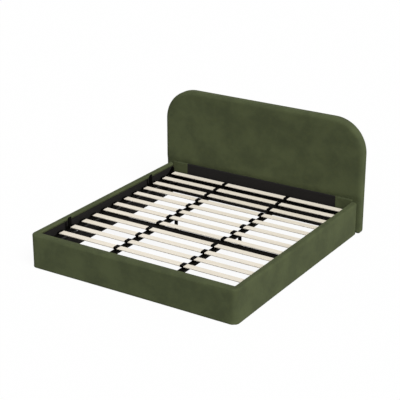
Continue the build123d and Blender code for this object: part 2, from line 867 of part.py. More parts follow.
with BuildPart() as leg_feet:
    with BuildSketch(Plane.XY.offset(leg_floor_gap)):
        with Locations((leg_across, leg_place)):
            Circle(leg_foot_radius)
    extrude(amount=leg_foot_height)
    with BuildSketch(Plane.XY.offset(leg_bottom)):
        with Locations((leg_across, leg_place)):
            Circle(leg_radius + running_gap)
    extrude(amount=leg_foot_height, mode=Mode.SUBTRACT)
    mirror(about=Plane.YZ)
keep(leg_feet, "leg_feet")


def flat_slat(x_span):
    """One slat of glued beech layers across x_span, with eased long edges, centred on Y zero."""
    with BuildPart() as slat:
        span_box(x_span, (-slat_width / 2, slat_width / 2), (slat_seat_height, slat_top))
        fillet(slat.edges().filter_by(Axis.X), slat_edge_radius)
    return slat


def in_rows(piece):
    """The same piece once in each row of slats."""
    with BuildPart() as rows:
        with Locations(*[(0, place, 0) for place in row_places]):
            add(piece.part)
    return rows


# Slats: a middle column between the centre rails and a column on each side
double_cap_inner = double_cap_x - double_cap_width / 2
double_cap_outer = double_cap_x + double_cap_width / 2
middle_slat_end = double_cap_inner + double_cap_grip
middle_slat = flat_slat((-middle_slat_end, middle_slat_end))
side_slat = flat_slat((side_slat_start, side_slat_end))
keep(in_rows(middle_slat), "middle_slats")
keep_pair(in_rows(side_slat), "side_slats")


# Slat caps: moulded pockets on the side rails and two-sided ones on the centre rails
pocket_width = slat_width + 2 * cap_slat_gap
cap_width = pocket_width + 2 * cap_side_wall
pocket_heights = (slat_seat_height, pocket_top)
half_cap = (-cap_width / 2, cap_width / 2)
half_pocket = (-pocket_width / 2, pocket_width / 2)
with BuildPart() as outer_cap:
    span_box((outer_cap_mouth, outer_cap_end), half_cap, (side_rail_top, cap_top))
    fillet(outer_cap.edges().filter_by(Axis.Z), cap_corner_radius)
    fillet(outer_cap.faces().sort_by(Axis.Z)[-1].edges(), cap_edge_radius)
    span_box((outer_cap_mouth, side_slat_end + cap_slat_gap), half_pocket, pocket_heights, Mode.SUBTRACT)
keep_pair(in_rows(outer_cap), "outer_slat_caps")

with BuildPart() as double_cap:
    span_box(
        (double_cap_inner, double_cap_outer),
        half_cap,
        (slat_seat_height - cap_wall, double_cap_top),
    )
    cap_face = double_cap.faces().sort_by(Axis.Z)[-1]
    fillet(cap_face.edges().filter_by(Axis.X), double_cap_arch_radius)
    for side in (-1, 0):
        end_face = double_cap.faces().sort_by(Axis.X)[side]
        end_edges = end_face.edges().filter_by(Axis.Z, reverse=True).sort_by(Axis.Z)
        fillet(end_edges[1:], cap_edge_radius)
    with Locations((double_cap_x, 0, centre_rail_top)):
        Box(
            double_cap_stem_width,
            double_cap_stem_length,
            double_cap_stem_height,
            align=(Align.CENTER, Align.CENTER, Align.MIN),
        )
    span_box(
        (double_cap_inner, middle_slat_end + cap_slat_gap),
        half_pocket,
        pocket_heights,
        Mode.SUBTRACT,
    )
    span_box(
        (side_slat_start - cap_slat_gap, double_cap_outer),
        half_pocket,
        pocket_heights,
        Mode.SUBTRACT,
    )
plain_caps = in_rows(double_cap)
with BuildPart() as double_caps:
    add(plain_caps.part)
    stem_across = (double_cap_x - double_cap_stem_width, double_cap_x + double_cap_stem_width)
    head_end = (head_rail_front - double_cap_stem_length, head_plane)
    span_box(stem_across, head_tube_span, (centre_rail_top, cross_tube_top), Mode.SUBTRACT)
    span_box(stem_across, head_end, (centre_rail_top, side_rail_top), Mode.SUBTRACT)
keep_pair(double_caps, "double_slat_caps")

# Mattress stops: bent plates on the outside of the left side rail
stop_top = slat_seat_height + stop_rise
stop_prong_top = slat_seat_height + stop_prong_rise
stop_base_top = slat_seat_height + stop_base_rise
with BuildPart() as mattress_stops:
    for place in (foot_face + stop_foot_setback, head_plane - stop_head_setback):
        tall_low = place - stop_width / 2
        tall_high = place + stop_width / 2
        base_low = tall_high - stop_base_width
        with BuildSketch(Plane.YZ.offset(side_rail_outer)) as stop_outline:
            with BuildLine():
                Polyline(
                    (base_low, side_rail_bottom),
                    (tall_high, side_rail_bottom),
                    (tall_high, stop_top),
                    (tall_low, stop_top),
                    (tall_low, stop_base_top),
                    (base_low + stop_prong_width, stop_base_top),
                    (base_low + stop_prong_width, stop_prong_top),
                    (base_low, stop_prong_top),
                    close=True,
                )
            make_face()
            fillet(stop_outline.vertices().group_by(Axis.Y)[-1], stop_corner_radius)
            fillet(stop_outline.vertices().group_by(Axis.Y)[0], stop_corner_radius)
        extrude(amount=stop_thickness)
    mirror(about=Plane.YZ, mode=Mode.REPLACE)
keep(mattress_stops, "mattress_stops")

# Hinge arms on the side rails, turning on the hinge pins
arm_low = head_rail_back - hinge_arm_length
arm_corners = (
    (arm_low + hinge_arm_edge, side_rail_bottom + hinge_arm_edge),
    (arm_low + hinge_arm_edge, side_rail_top - hinge_arm_edge),
    (head_rail_back - hinge_arm_edge, side_rail_bottom + hinge_arm_edge),
)
with BuildPart() as hinge_arm:
    with BuildSketch(Plane.YZ.offset(side_rail_outer)):
        with Locations((hinge_place, hinge_height)):
            Circle(hinge_arm_ear)
        with Locations(*arm_corners):
            Circle(hinge_arm_edge)
        make_hull()
        with Locations((hinge_place, hinge_height)):
            Circle(hinge_pin_radius + running_gap, mode=Mode.SUBTRACT)
    extrude(amount=hinge_arm_thickness)
keep_pair(hinge_arm, "hinge_arm")

with BuildPart() as strut_bracket:
    with BuildSketch(Plane.YZ.offset(bracket_face_x)):
        with Locations((strut_top_place, strut_top_height)):
            RectangleRounded(strut_bracket_length, strut_bracket_height, strut_bracket_corner)
            Circle(strut_bracket_hole, mode=Mode.SUBTRACT)
    extrude(amount=strut_bracket_thickness)
keep_pair(strut_bracket, "strut_bracket")

# Pull strap: a loop of webbing sewn on the foot rail's front
strap_low = side_rail_bottom + strap_bottom_rise
strap_plane = Plane.YZ.offset(-strap_width / 2)
with BuildPart() as pull_strap:
    with BuildSketch(strap_plane):
        with Locations((foot_rail_front - strap_loop_depth / 2, strap_low + strap_height / 2)):
            SlotOverall(strap_height, strap_loop_depth, rotation=90)
            SlotOverall(
                strap_height - 2 * strap_thickness,
                strap_loop_depth - 2 * strap_thickness,
                rotation=90,
                mode=Mode.SUBTRACT,
            )
    extrude(amount=strap_width)
keep(pull_strap, "pull_strap")

# Gas strut on the right, drawn along its own axis from the lower pivot
strut_plane = Plane(
    origin=(strut_centre, strut_base_place, strut_base_height), x_dir=(1, 0, 0), z_dir=strut_direction
)
strut_tube_end = strut_length - strut_tube_clear
strut_bore = strut_tube_radius - strut_tube_wall
rod_end = strut_length - strut_neck_length
with BuildPart() as strut_cylinder:
    with BuildSketch(strut_plane.offset(strut_tube_start)):
        Circle(strut_tube_radius)
    extrude(amount=strut_tube_end - strut_tube_start)
    with BuildSketch(strut_plane.offset(strut_tube_start + strut_tube_floor)):
        Circle(strut_bore)
    extrude(
        amount=strut_tube_end - strut_gland - strut_tube_start - strut_tube_floor, mode=Mode.SUBTRACT
    )
    with BuildSketch(strut_plane.offset(strut_tube_end - strut_gland)):
        Circle(strut_rod_radius + running_gap)
    extrude(amount=strut_gland, mode=Mode.SUBTRACT)
keep_pair(strut_cylinder, "strut_cylinder")

with BuildPart() as strut_base_eye:
    cross_rod((strut_eye_inner, strut_eye_outer), strut_base_place, strut_base_height, strut_eye_radius)
    with BuildSketch(strut_plane.offset(strut_eye_radius / 2)):
        Circle(strut_neck_radius)
    extrude(amount=strut_tube_start - strut_eye_radius / 2)
    cross_rod(
        (strut_eye_inner, strut_eye_outer),
        strut_base_place,
        strut_base_height,
        strut_stud_radius + running_gap,
        Mode.SUBTRACT,
    )
keep_pair(strut_base_eye, "strut_base_eye")

with BuildPart() as strut_rod:
    with BuildSketch(strut_plane.offset(strut_piston_start)):
        Circle(strut_bore - running_gap)
    extrude(amount=strut_piston_length)
    with BuildSketch(strut_plane.offset(strut_piston_start + strut_piston_length)):
        Circle(strut_rod_radius)
    extrude(amount=rod_end - strut_piston_start - strut_piston_length)
keep_pair(strut_rod, "strut_rod")

with BuildPart() as strut_rod_eye:
    cross_rod((strut_eye_inner, strut_eye_outer), strut_top_place, strut_top_height, strut_eye_radius)
    with BuildSketch(strut_plane.offset(rod_end)):
        Circle(strut_neck_radius)
    extrude(amount=strut_neck_length - strut_eye_radius / 2)
    cross_rod(
        (strut_eye_outer, bracket_face_x - strut_side_gap),
        strut_top_place,
        strut_top_height,
        strut_stud_radius,
    )
keep_pair(strut_rod_eye, "strut_rod_eye")
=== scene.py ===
"""A king-size gas lift storage bed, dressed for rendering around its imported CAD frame."""

from __future__ import annotations

import json
import logging
import math
from dataclasses import dataclass
from enum import Enum
from typing import ClassVar, Iterable, Mapping, Sequence

import bmesh
import bpy
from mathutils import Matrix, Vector
from mathutils.geometry import delaunay_2d_cdt

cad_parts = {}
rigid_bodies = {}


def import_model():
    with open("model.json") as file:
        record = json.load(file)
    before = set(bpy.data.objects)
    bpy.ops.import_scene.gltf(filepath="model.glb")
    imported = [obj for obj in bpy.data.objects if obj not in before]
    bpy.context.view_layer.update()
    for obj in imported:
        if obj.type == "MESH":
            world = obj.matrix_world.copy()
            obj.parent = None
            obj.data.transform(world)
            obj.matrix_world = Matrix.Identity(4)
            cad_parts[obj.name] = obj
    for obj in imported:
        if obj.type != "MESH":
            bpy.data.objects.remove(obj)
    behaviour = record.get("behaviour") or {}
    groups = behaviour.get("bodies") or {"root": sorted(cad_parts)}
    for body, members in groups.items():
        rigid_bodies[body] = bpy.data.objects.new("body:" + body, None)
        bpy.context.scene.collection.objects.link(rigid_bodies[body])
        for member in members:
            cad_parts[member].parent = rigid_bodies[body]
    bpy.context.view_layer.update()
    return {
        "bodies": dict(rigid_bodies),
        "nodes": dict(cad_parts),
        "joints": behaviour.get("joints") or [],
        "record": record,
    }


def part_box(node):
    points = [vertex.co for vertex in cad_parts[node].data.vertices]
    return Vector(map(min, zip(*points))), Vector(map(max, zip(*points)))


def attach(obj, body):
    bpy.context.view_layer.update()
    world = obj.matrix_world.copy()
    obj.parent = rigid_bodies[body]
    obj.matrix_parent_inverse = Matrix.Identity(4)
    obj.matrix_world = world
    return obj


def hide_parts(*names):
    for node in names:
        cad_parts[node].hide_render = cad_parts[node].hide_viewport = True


LOG = logging.getLogger("gas_lift_bed")
MM = 0.001
# A wave texture's bands lie this many metres apart at a scale of one
WAVE_BAND = 2 * math.pi / 20
WHITE = "#ffffff"

Point = tuple[float, float]
Spot = tuple[float, float, float]
Face = tuple[int, ...]


# Helpers for colours, nodes and meshes


def linear(hex_colour: str) -> tuple[float, float, float, float]:
    """Turn an sRGB hex colour into linear values.

    Args:
        hex_colour: The colour, such as "#5a603f".

    Returns:
        Red, green, blue and an alpha of one.
    """
    digits = hex_colour.lstrip("#")
    channels = [int(digits[start : start + 2], 16) / 255 for start in (0, 2, 4)]
    toned = [
        channel / 12.92 if channel <= 0.04045 else ((channel + 0.055) / 1.055) ** 2.4
        for channel in channels
    ]
    return (toned[0], toned[1], toned[2], 1.0)


def add_node(
    tree: bpy.types.NodeTree,
    kind: str,
    values: Mapping[str | int, object] | None = None,
    links: Mapping[str | int, bpy.types.NodeSocket] | None = None,
    **settings: object,
) -> bpy.types.Node:
    """Add a node with its settings, socket values and incoming links.

    Args:
        tree: The node tree that takes the node.
        kind: The node's type name without its "ShaderNode" start.
        values: Socket name or number to value.
        links: Socket name or number to the socket that feeds it.
        settings: The node's own properties.

    Returns:
        The new node.
    """
    node = tree.nodes.new("ShaderNode" + kind)
    for name, value in settings.items():
        setattr(node, name, value)
    for socket, value in (values or {}).items():
        node.inputs[socket].default_value = value
    for socket, source in (links or {}).items():
        tree.links.new(source, node.inputs[socket])
    return node


def mesh_piece(
    name: str, spots: Iterable[Sequence[float]], faces: Iterable[Face], smooth: bool = True
) -> bpy.types.Object:
    """Make a mesh object from points in metres and faces.

    Args:
        name: The piece's name.
        spots: The points.
        faces: The faces, as point numbers.
        smooth: Whether the faces are shaded smooth.

    Returns:
        The object, linked to the scene.
    """
    mesh = bpy.data.meshes.new(name)
    mesh.from_pydata([tuple(spot) for spot in spots], [], [tuple(face) for face in faces])
    mesh.validate()
    work = bmesh.new()
    work.from_mesh(mesh)
    bmesh.ops.recalc_face_normals(work, faces=work.faces)
    for face in work.faces:
        face.smooth = smooth
    work.to_mesh(mesh)
    work.free()
    piece = bpy.data.objects.new(name, mesh)
    bpy.context.scene.collection.objects.link(piece)
    return piece


def dress(piece: bpy.types.Object, finish: Finish) -> None:
    """Give a piece one finish all over, in place of what it wears."""
    piece.data.materials.clear()
    piece.data.materials.append(finish.material())


def evenly(low: float, high: float, widest: float) -> list[float]:
    """Spread values from low to high, both included.

    Args:
        low: The first value.
        high: The last value.
        widest: The widest step allowed.

    Returns:
        The values.
    """
    steps = max(1, math.ceil(abs(high - low) / widest - 1e-9))
    return [low + (high - low) * step / steps for step in range(steps + 1)]


def corner(centre: Point, radius: float, start: float, stop: float, steps: int) -> list[Point]:
    """Points round part of a circle.

    Args:
        centre: The circle's centre.
        radius: Its radius.
        start: The first point's angle in degrees.
        stop: The last point's angle in degrees.
        steps: How many steps lie between them.

    Returns:
        The points, both ends included.
    """
    angles = [math.radians(start + (stop - start) * step / steps) for step in range(steps + 1)]
    return [
        (centre[0] + radius * math.cos(angle), centre[1] + radius * math.sin(angle))
        for angle in angles
    ]


def ring_faces(rings: int, around: int, closed: bool) -> list[Face]:
    """Faces between rows of points that lie one after another.

    Args:
        rings: How many rows there are.
        around: How many points a row has.
        closed: Whether each row's last point joins its first.

    Returns:
        The faces.
    """
    faces: list[Face] = []
    for ring in range(rings - 1):
        for place in range(around if closed else around - 1):
            after = (place + 1) % around
            low, high = ring * around, (ring + 1) * around
            faces.append((low + place, low + after, high + after, high + place))
    return faces


def end_faces(rings: int, around: int) -> list[Face]:
    """The two faces that close the ends of a row of rings."""
    return [tuple(range(around)), tuple(range((rings - 1) * around, rings * around))]


def ripple(seed: float, along: float, across: float) -> float:
    """A smooth wandering value, the same on each run.

    Args:
        seed: A number that tells one cloth's ripples from another's.
        along: The place along the cloth, in ripples.
        across: The place across it, in ripples.

    Returns:
        The value, between about -1 and 1.
    """
    return (
        math.sin(along * 1.7 + seed)
        + math.sin(along * 3.1 - across * 2.3 + seed * 2.1)
        + math.sin(across * 4.7 + along * 0.9 + seed * 3.7)
    ) / 3


def eased(share: float) -> float:
    """A share held between 0 and 1 and smoothed towards both."""
    held = min(1.0, max(0.0, share))
    return held * held * (3 - 2 * held)


@dataclass(frozen=True)
class Padding:
    """How a velvet cover fills out over its foam.

    The foam is cut to shape and keeps the cover from sinking anywhere, so the cover only ever rises.
    """

    pressure: float
    furthest: float
    frames: int = 20
    quality: int = 6
    cover_mass: float = 0.3
    stretch_stiffness: float = 25.0
    shear_stiffness: float = 12.0
    bend_stiffness: float = 4.0

    def fill(self, piece: bpy.types.Object, held: Sequence[int]) -> None:
        """Swell a piece like a cover over foam, and keep the result in its mesh.

        Args:
            piece: The piece, a little smaller than its final size.
            held: The points that are stapled down and don't move.
        """
        group = piece.vertex_groups.new(name="stapled")
        group.add(list(held), 1.0, "REPLACE")
        start = [(point.co.copy(), point.normal.copy()) for point in piece.data.vertices]
        cloth = piece.modifiers.new("cover", "CLOTH")
        settings = cloth.settings
        settings.quality = self.quality
        settings.mass = self.cover_mass
        settings.tension_stiffness = self.stretch_stiffness
        settings.compression_stiffness = self.stretch_stiffness
        settings.shear_stiffness = self.shear_stiffness
        settings.bending_stiffness = self.bend_stiffness
        settings.use_pressure = True
        settings.uniform_pressure_force = self.pressure
        settings.effector_weights.gravity = 0
        settings.vertex_group_mass = group.name
        settings.pin_stiffness = 1
        cloth.collision_settings.use_collision = False
        cloth.collision_settings.use_self_collision = False
        cloth.point_cache.frame_start = 1
        cloth.point_cache.frame_end = self.frames
        scene = bpy.context.scene
        for frame in range(1, self.frames + 1):
            scene.frame_set(frame)
        evaluated = piece.evaluated_get(bpy.context.evaluated_depsgraph_get())
        moved = [point.co.copy() for point in evaluated.data.vertices]
        piece.modifiers.remove(cloth)
        scene.frame_set(1)
        rises = [(after - before).dot(outward) for (before, outward), after in zip(start, moved)]
        for point, (before, outward), rise in zip(piece.data.vertices, start, rises):
            point.co = before + outward * min(max(rise, 0.0), self.furthest)
        LOG.info("%s rose by up to %.1f mm", piece.name, max(rises) / MM)
        piece.vertex_groups.remove(group)
        piece.data.update()


# Finishes


@dataclass(frozen=True)
class Swatch:
    """A material in the making: its node tree, Principled shader and object coordinates in metres."""

    tree: bpy.types.NodeTree
    shader: bpy.types.Node
    place: bpy.types.NodeSocket


@dataclass(frozen=True)
class Finish:
    """A surface finish that makes one shared material."""

    name: ClassVar[str] = "finish"

    def material(self) -> bpy.types.Material:
        """Make the finish's material on first use.

        Returns:
            The material, the same one each time.
        """
        found = bpy.data.materials.get(self.name)
        if found is not None:
            return found
        made = bpy.data.materials.new(self.name)
        made.use_nodes = True
        tree = made.node_tree
        tree.nodes.clear()
        shader = add_node(tree, "BsdfPrincipled")
        add_node(tree, "OutputMaterial", links={"Surface": shader.outputs["BSDF"]})
        place = add_node(tree, "TexCoord").outputs["Object"]
        self.build(Swatch(tree, shader, place))
        return made

    def build(self, swatch: Swatch) -> None:
        """Set the shader and add the nodes that feed it.

        Args:
            swatch: The material in the making.
        """
        raise NotImplementedError


@dataclass(frozen=True)
class ShortPileVelvet(Finish):
    """Polyester velvet, woven double and cut to a short pile.

    The cut pile gives a matte cover whose edges catch a soft light, with broad pale and dark patches where
    the pile leans one way or the other. Faces that look up are painted darker: a painted shade that tones
    down the light the tops catch.
    """

    name: ClassVar[str] = "olive_polyester_velvet"
    leaning_away: str = "#575f40"
    leaning_near: str = "#4a5137"
    worn_warm: str = "#555c3a"
    patch_mm: float = 260.0
    brush_mm: float = 42.0
    # The pile's tufts stand 0.4 mm apart. They are drawn 3 mm apart, or they wouldn't show.
    tuft_mm: float = 3.0
    tuft_height_mm: float = 0.4
    brush_height_mm: float = 1.4
    # Painted shade: the colour on faces that look straight up is multiplied by this
    painted_top_shade: float = 0.75
    sheen: str = "#aab083"

    def build(self, swatch: Swatch) -> None:
        """Set the shader and add the nodes that feed it.

        Args:
            swatch: The material in the making.
        """
        tree, shader, place = swatch.tree, swatch.shader, swatch.place
        patches = add_node(
            tree,
            "TexNoise",
            {"Scale": 1000 / self.patch_mm, "Detail": 5.0, "Roughness": 0.6, "Distortion": 0.2},
            {"Vector": place},
        )
        leaning = add_node(
            tree,
            "MapRange",
            {"From Min": 0.35, "From Max": 0.65},
            {"Value": patches.outputs[0]},
            interpolation_type="SMOOTHSTEP",
        )
        brushed = add_node(
            tree,
            "TexNoise",
            {"Scale": 1000 / self.brush_mm, "Detail": 4.0, "Roughness": 0.6},
            {"Vector": place},
        )
        pile = add_node(
            tree,
            "Mix",
            {6: linear(self.leaning_near), 7: linear(self.leaning_away)},
            {0: leaning.outputs[0]},
            data_type="RGBA",
        )
        warm = add_node(
            tree,
            "MapRange",
            {"From Min": 0.5, "From Max": 0.8, "To Max": 0.7},
            {"Value": brushed.outputs[0]},
        )
        toned = add_node(
            tree,
            "Mix",
            {7: linear(self.worn_warm)},
            {0: warm.outputs[0], 6: pile.outputs[2]},
            data_type="RGBA",
        )
        facing = add_node(
            tree, "SeparateXYZ", links={"Vector": add_node(tree, "NewGeometry").outputs["Normal"]}
        )
        # Painted shade: the colour is darkened on faces that look up, as if the tops caught less light
        painted_top_darkening = add_node(
            tree,
            "MapRange",
            {"From Min": 0.3, "From Max": 1.0, "To Min": 1.0, "To Max": self.painted_top_shade},
            {"Value": facing.outputs["Z"]},
        )
        shaded = add_node(
            tree,
            "VectorMath",
            links={0: toned.outputs[2], 1: painted_top_darkening.outputs[0]},
            operation="MULTIPLY",
        )
        tufts = add_node(
            tree,
            "TexNoise",
            {"Scale": 1000 / self.tuft_mm, "Detail": 2.0, "Roughness": 0.7},
            {"Vector": place},
        )
        raised = add_node(
            tree,
            "Bump",
            {"Strength": 0.35, "Distance": self.tuft_height_mm * MM},
            {"Height": tufts.outputs[0]},
        )
        rubbed = add_node(
            tree,
            "Bump",
            {"Strength": 0.7, "Distance": self.brush_height_mm * MM},
            {"Height": brushed.outputs[0], "Normal": raised.outputs[0]},
        )
        tree.links.new(shaded.outputs[0], shader.inputs["Base Color"])
        tree.links.new(rubbed.outputs[0], shader.inputs["Normal"])
        shader.inputs["Roughness"].default_value = 0.92
        shader.inputs["IOR"].default_value = 1.5
        shader.inputs["Specular IOR Level"].default_value = 0.2
        shader.inputs["Sheen Weight"].default_value = 0.15
        shader.inputs["Sheen Roughness"].default_value = 0.42
        shader.inputs["Sheen Tint"].default_value = linear(self.sheen)


@dataclass(frozen=True)
class PaintedShadeVelvet(ShortPileVelvet):
    """The same velvet in darker colours: a painted shade on the corner pads, which sit in front of the
    headboard inside the side panels.
    """

    name: ClassVar[str] = "olive_velvet_painted_shade"
    # Painted shade: darker copies of the velvet's colours
    leaning_away: str = "#4d5438"
    leaning_near: str = "#42482f"
    worn_warm: str = "#4b5133"


@dataclass(frozen=True)
class SpunCloth(Finish):
    """Polypropylene non-woven, spun and pressed with a grid of small points.

    The pressed points give a dull felt-like cloth with a faint regular grain.
    """

    name: ClassVar[str] = "black_spun_polypropylene_cloth"
    shade: str = "#1c1b1a"
    faded: str = "#262423"
    fibre_mm: float = 9.0
    # The pressed points lie 1.2 mm apart. They are drawn 5 mm apart, or they wouldn't show.
    point_mm: float = 5.0
    point_depth_mm: float = 0.3

    def build(self, swatch: Swatch) -> None:
        """Set the shader and add the nodes that feed it.

        Args:
            swatch: The material in the making.
        """
        tree, shader, place = swatch.tree, swatch.shader, swatch.place
        fibres = add_node(
            tree,
            "TexNoise",
            {"Scale": 1000 / self.fibre_mm, "Detail": 5.0, "Roughness": 0.7, "Distortion": 1.5},
            {"Vector": place},
        )
        shade = add_node(
            tree,
            "Mix",
            {6: linear(self.shade), 7: linear(self.faded)},
            {0: fibres.outputs[0]},
            data_type="RGBA",
        )
        points = add_node(
            tree,
            "TexVoronoi",
            {"Scale": 1000 / self.point_mm, "Randomness": 0.15},
            {"Vector": place},
        )
        pressed = add_node(
            tree,
            "Bump",
            {"Strength": 0.4, "Distance": self.point_depth_mm * MM},
            {"Height": points.outputs["Distance"]},
        )
        tree.links.new(shade.outputs[2], shader.inputs["Base Color"])
        tree.links.new(pressed.outputs[0], shader.inputs["Normal"])
        shader.inputs["Roughness"].default_value = 0.95
        shader.inputs["Specular IOR Level"].default_value = 0.15


@dataclass(frozen=True)
class LaminatedBirch(Finish):
    """Birch veneers glued in layers, pressed flat and sanded.

    Long fine grain runs from end to end, the glue shows as faint darker bands on the edges, and each slat
    has a tone of its own.
    """

    name: ClassVar[str] = "laminated_birch_veneer"
    pale: str = "#f4ecdd"
    cream: str = "#ede4d3"
    grain: str = "#d3c9b6"
    glue: str = "#b8a98e"
    grain_mm: float = 7.0
    grain_run_mm: float = 420.0
    grain_depth_mm: float = 0.2
    # The veneers are 1.3 mm thick. Their glue lines are drawn 8.2 mm apart, or they wouldn't show.
    glue_line_mm: float = 8.2

    def build(self, swatch: Swatch) -> None:
        """Set the shader and add the nodes that feed it.

        Args:
            swatch: The material in the making.
        """
        tree, shader, place = swatch.tree, swatch.shader, swatch.place
        stretched = add_node(
            tree,
            "Mapping",
            {"Scale": (self.grain_mm / self.grain_run_mm, 1.0, 0.25)},
            {"Vector": place},
        )
        grain = add_node(
            tree,
            "TexNoise",
            {"Scale": 1000 / self.grain_mm, "Detail": 4.0, "Roughness": 0.65, "Distortion": 0.4},
            {"Vector": stretched.outputs[0]},
        )
        lines = add_node(
            tree,
            "MapRange",
            {"From Min": 0.52, "From Max": 0.72, "To Max": 0.75},
            {"Value": grain.outputs[0]},
        )
        facing = add_node(tree, "NewGeometry")
        body = add_node(
            tree,
            "Mix",
            {6: linear(self.pale), 7: linear(self.cream)},
            {0: facing.outputs["Random Per Island"]},
            data_type="RGBA",
        )
        grained = add_node(
            tree,
            "Mix",
            {7: linear(self.grain)},
            {0: lines.outputs[0], 6: body.outputs[2]},
            data_type="RGBA",
        )
        veneers = add_node(
            tree,
            "TexWave",
            {"Scale": WAVE_BAND / (self.glue_line_mm * MM), "Distortion": 0.3},
            {"Vector": place},
            bands_direction="Z",
        )
        upright = add_node(tree, "SeparateXYZ", links={"Vector": facing.outputs["Normal"]})
        flat = add_node(tree, "Math", links={0: upright.outputs["Z"]}, operation="ABSOLUTE")
        edge = add_node(
            tree,
            "MapRange",
            {"From Min": 0.2, "From Max": 0.6, "To Min": 0.3, "To Max": 0.0},
            {"Value": flat.outputs[0]},
        )
        layered = add_node(
            tree, "Math", links={0: veneers.outputs[1], 1: edge.outputs[0]}, operation="MULTIPLY"
        )
        edged = add_node(
            tree,
            "Mix",
            {7: linear(self.glue)},
            {0: layered.outputs[0], 6: grained.outputs[2]},
            data_type="RGBA",
        )
        sanded = add_node(
            tree,
            "Bump",
            {"Strength": 0.15, "Distance": self.grain_depth_mm * MM},
            {"Height": grain.outputs[0]},
        )
        tree.links.new(edged.outputs[2], shader.inputs["Base Color"])
        tree.links.new(sanded.outputs[0], shader.inputs["Normal"])
        shader.inputs["Roughness"].default_value = 0.5
        shader.inputs["IOR"].default_value = 1.5
        shader.inputs["Specular IOR Level"].default_value = 0.35


@dataclass(frozen=True)
class PlainTimber(Finish):
    """Sawn or sanded board.

    The wide grain and the fine pores give a dry, uneven surface.
    """

    pale: str
    dark: str
    grain_mm: float
    run_axis: tuple[float, float, float] = (0.06, 1.0, 1.0)
    pore_mm: float = 0.3
    dryness: float = 0.7

    def build(self, swatch: Swatch) -> None:
        """Set the shader and add the nodes that feed it.

        Args:
            swatch: The material in the making.
        """
        tree, shader, place = swatch.tree, swatch.shader, swatch.place
        stretched = add_node(tree, "Mapping", {"Scale": self.run_axis}, {"Vector": place})
        grain = add_node(
            tree,
            "TexNoise",
            {"Scale": 1000 / self.grain_mm, "Detail": 6.0, "Roughness": 0.62, "Distortion": 0.8},
            {"Vector": stretched.outputs[0]},
        )
        shade = add_node(
            tree,
            "Mix",
            {6: linear(self.pale), 7: linear(self.dark)},
            {0: grain.outputs[0]},
            data_type="RGBA",
        )
        pores = add_node(
            tree,
            "Bump",
            {"Strength": 0.3, "Distance": self.pore_mm * MM},
            {"Height": grain.outputs[0]},
        )
        tree.links.new(shade.outputs[2], shader.inputs["Base Color"])
        tree.links.new(pores.outputs[0], shader.inputs["Normal"])
        shader.inputs["Roughness"].default_value = self.dryness
        shader.inputs["IOR"].default_value = 1.5


@dataclass(frozen=True)
class SandedPlywood(PlainTimber):
    """Poplar plywood, peeled and sanded. Its face is pale with wide soft grain."""

    name: ClassVar[str] = "sanded_poplar_plywood"
    pale: str = "#dcc296"
    dark: str = "#bf9c68"
    grain_mm: float = 18.0


@dataclass(frozen=True)
class PlanedPine(PlainTimber):
    """Planed pine. Its grain is warm and plain."""

    name: ClassVar[str] = "planed_pine"
    pale: str = "#dcb983"
    dark: str = "#b98c50"
    grain_mm: float = 11.0


@dataclass(frozen=True)
class BlackStainedPine(PlainTimber):
    """Pine board or batten dipped in black stain. The grain shows as faint lighter lines."""

    name: ClassVar[str] = "black_stained_pine"
    pale: str = "#1d1b18"
    dark: str = "#110f0d"
    grain_mm: float = 11.0
    run_axis: tuple[float, float, float] = (1.0, 0.06, 1.0)


@dataclass(frozen=True)
class PowderCoatedSteel(Finish):
    """Mild steel tube and plate with a baked matt black polyester powder coat.

    The matt powder bakes to a fine orange-peel skin that sends back hardly any light, with a few dusty
    places.
    """

    name: ClassVar[str] = "black_powder_coated_steel"
    coat: str = "#050403"
    dust: str = "#0c0b0a"
    peel_mm: float = 2.2
    peel_height_mm: float = 0.15
    dust_mm: float = 60.0
    smoothest: float = 0.45
    roughest: float = 0.62
    glint: float = 0.02

    def build(self, swatch: Swatch) -> None:
        """Set the shader and add the nodes that feed it.

        Args:
            swatch: The material in the making.
        """
        tree, shader, place = swatch.tree, swatch.shader, swatch.place
        dust = add_node(
            tree, "TexNoise", {"Scale": 1000 / self.dust_mm, "Detail": 4.0}, {"Vector": place}
        )
        shade = add_node(
            tree,
            "Mix",
            {6: linear(self.coat), 7: linear(self.dust)},
            {0: dust.outputs[0]},
            data_type="RGBA",
        )
        dulled = add_node(
            tree,
            "MapRange",
            {"From Min": 0.3, "From Max": 0.7, "To Min": self.smoothest, "To Max": self.roughest},
            {"Value": dust.outputs[0]},
        )
        peel = add_node(
            tree, "TexNoise", {"Scale": 1000 / self.peel_mm, "Detail": 1.0}, {"Vector": place}
        )
        skin = add_node(
            tree,
            "Bump",
            {"Strength": 0.12, "Distance": self.peel_height_mm * MM},
            {"Height": peel.outputs[0]},
        )
        tree.links.new(shade.outputs[2], shader.inputs["Base Color"])
        tree.links.new(dulled.outputs[0], shader.inputs["Roughness"])
        tree.links.new(skin.outputs[0], shader.inputs["Normal"])
        shader.inputs["IOR"].default_value = 1.5
        shader.inputs["Specular IOR Level"].default_value = self.glint


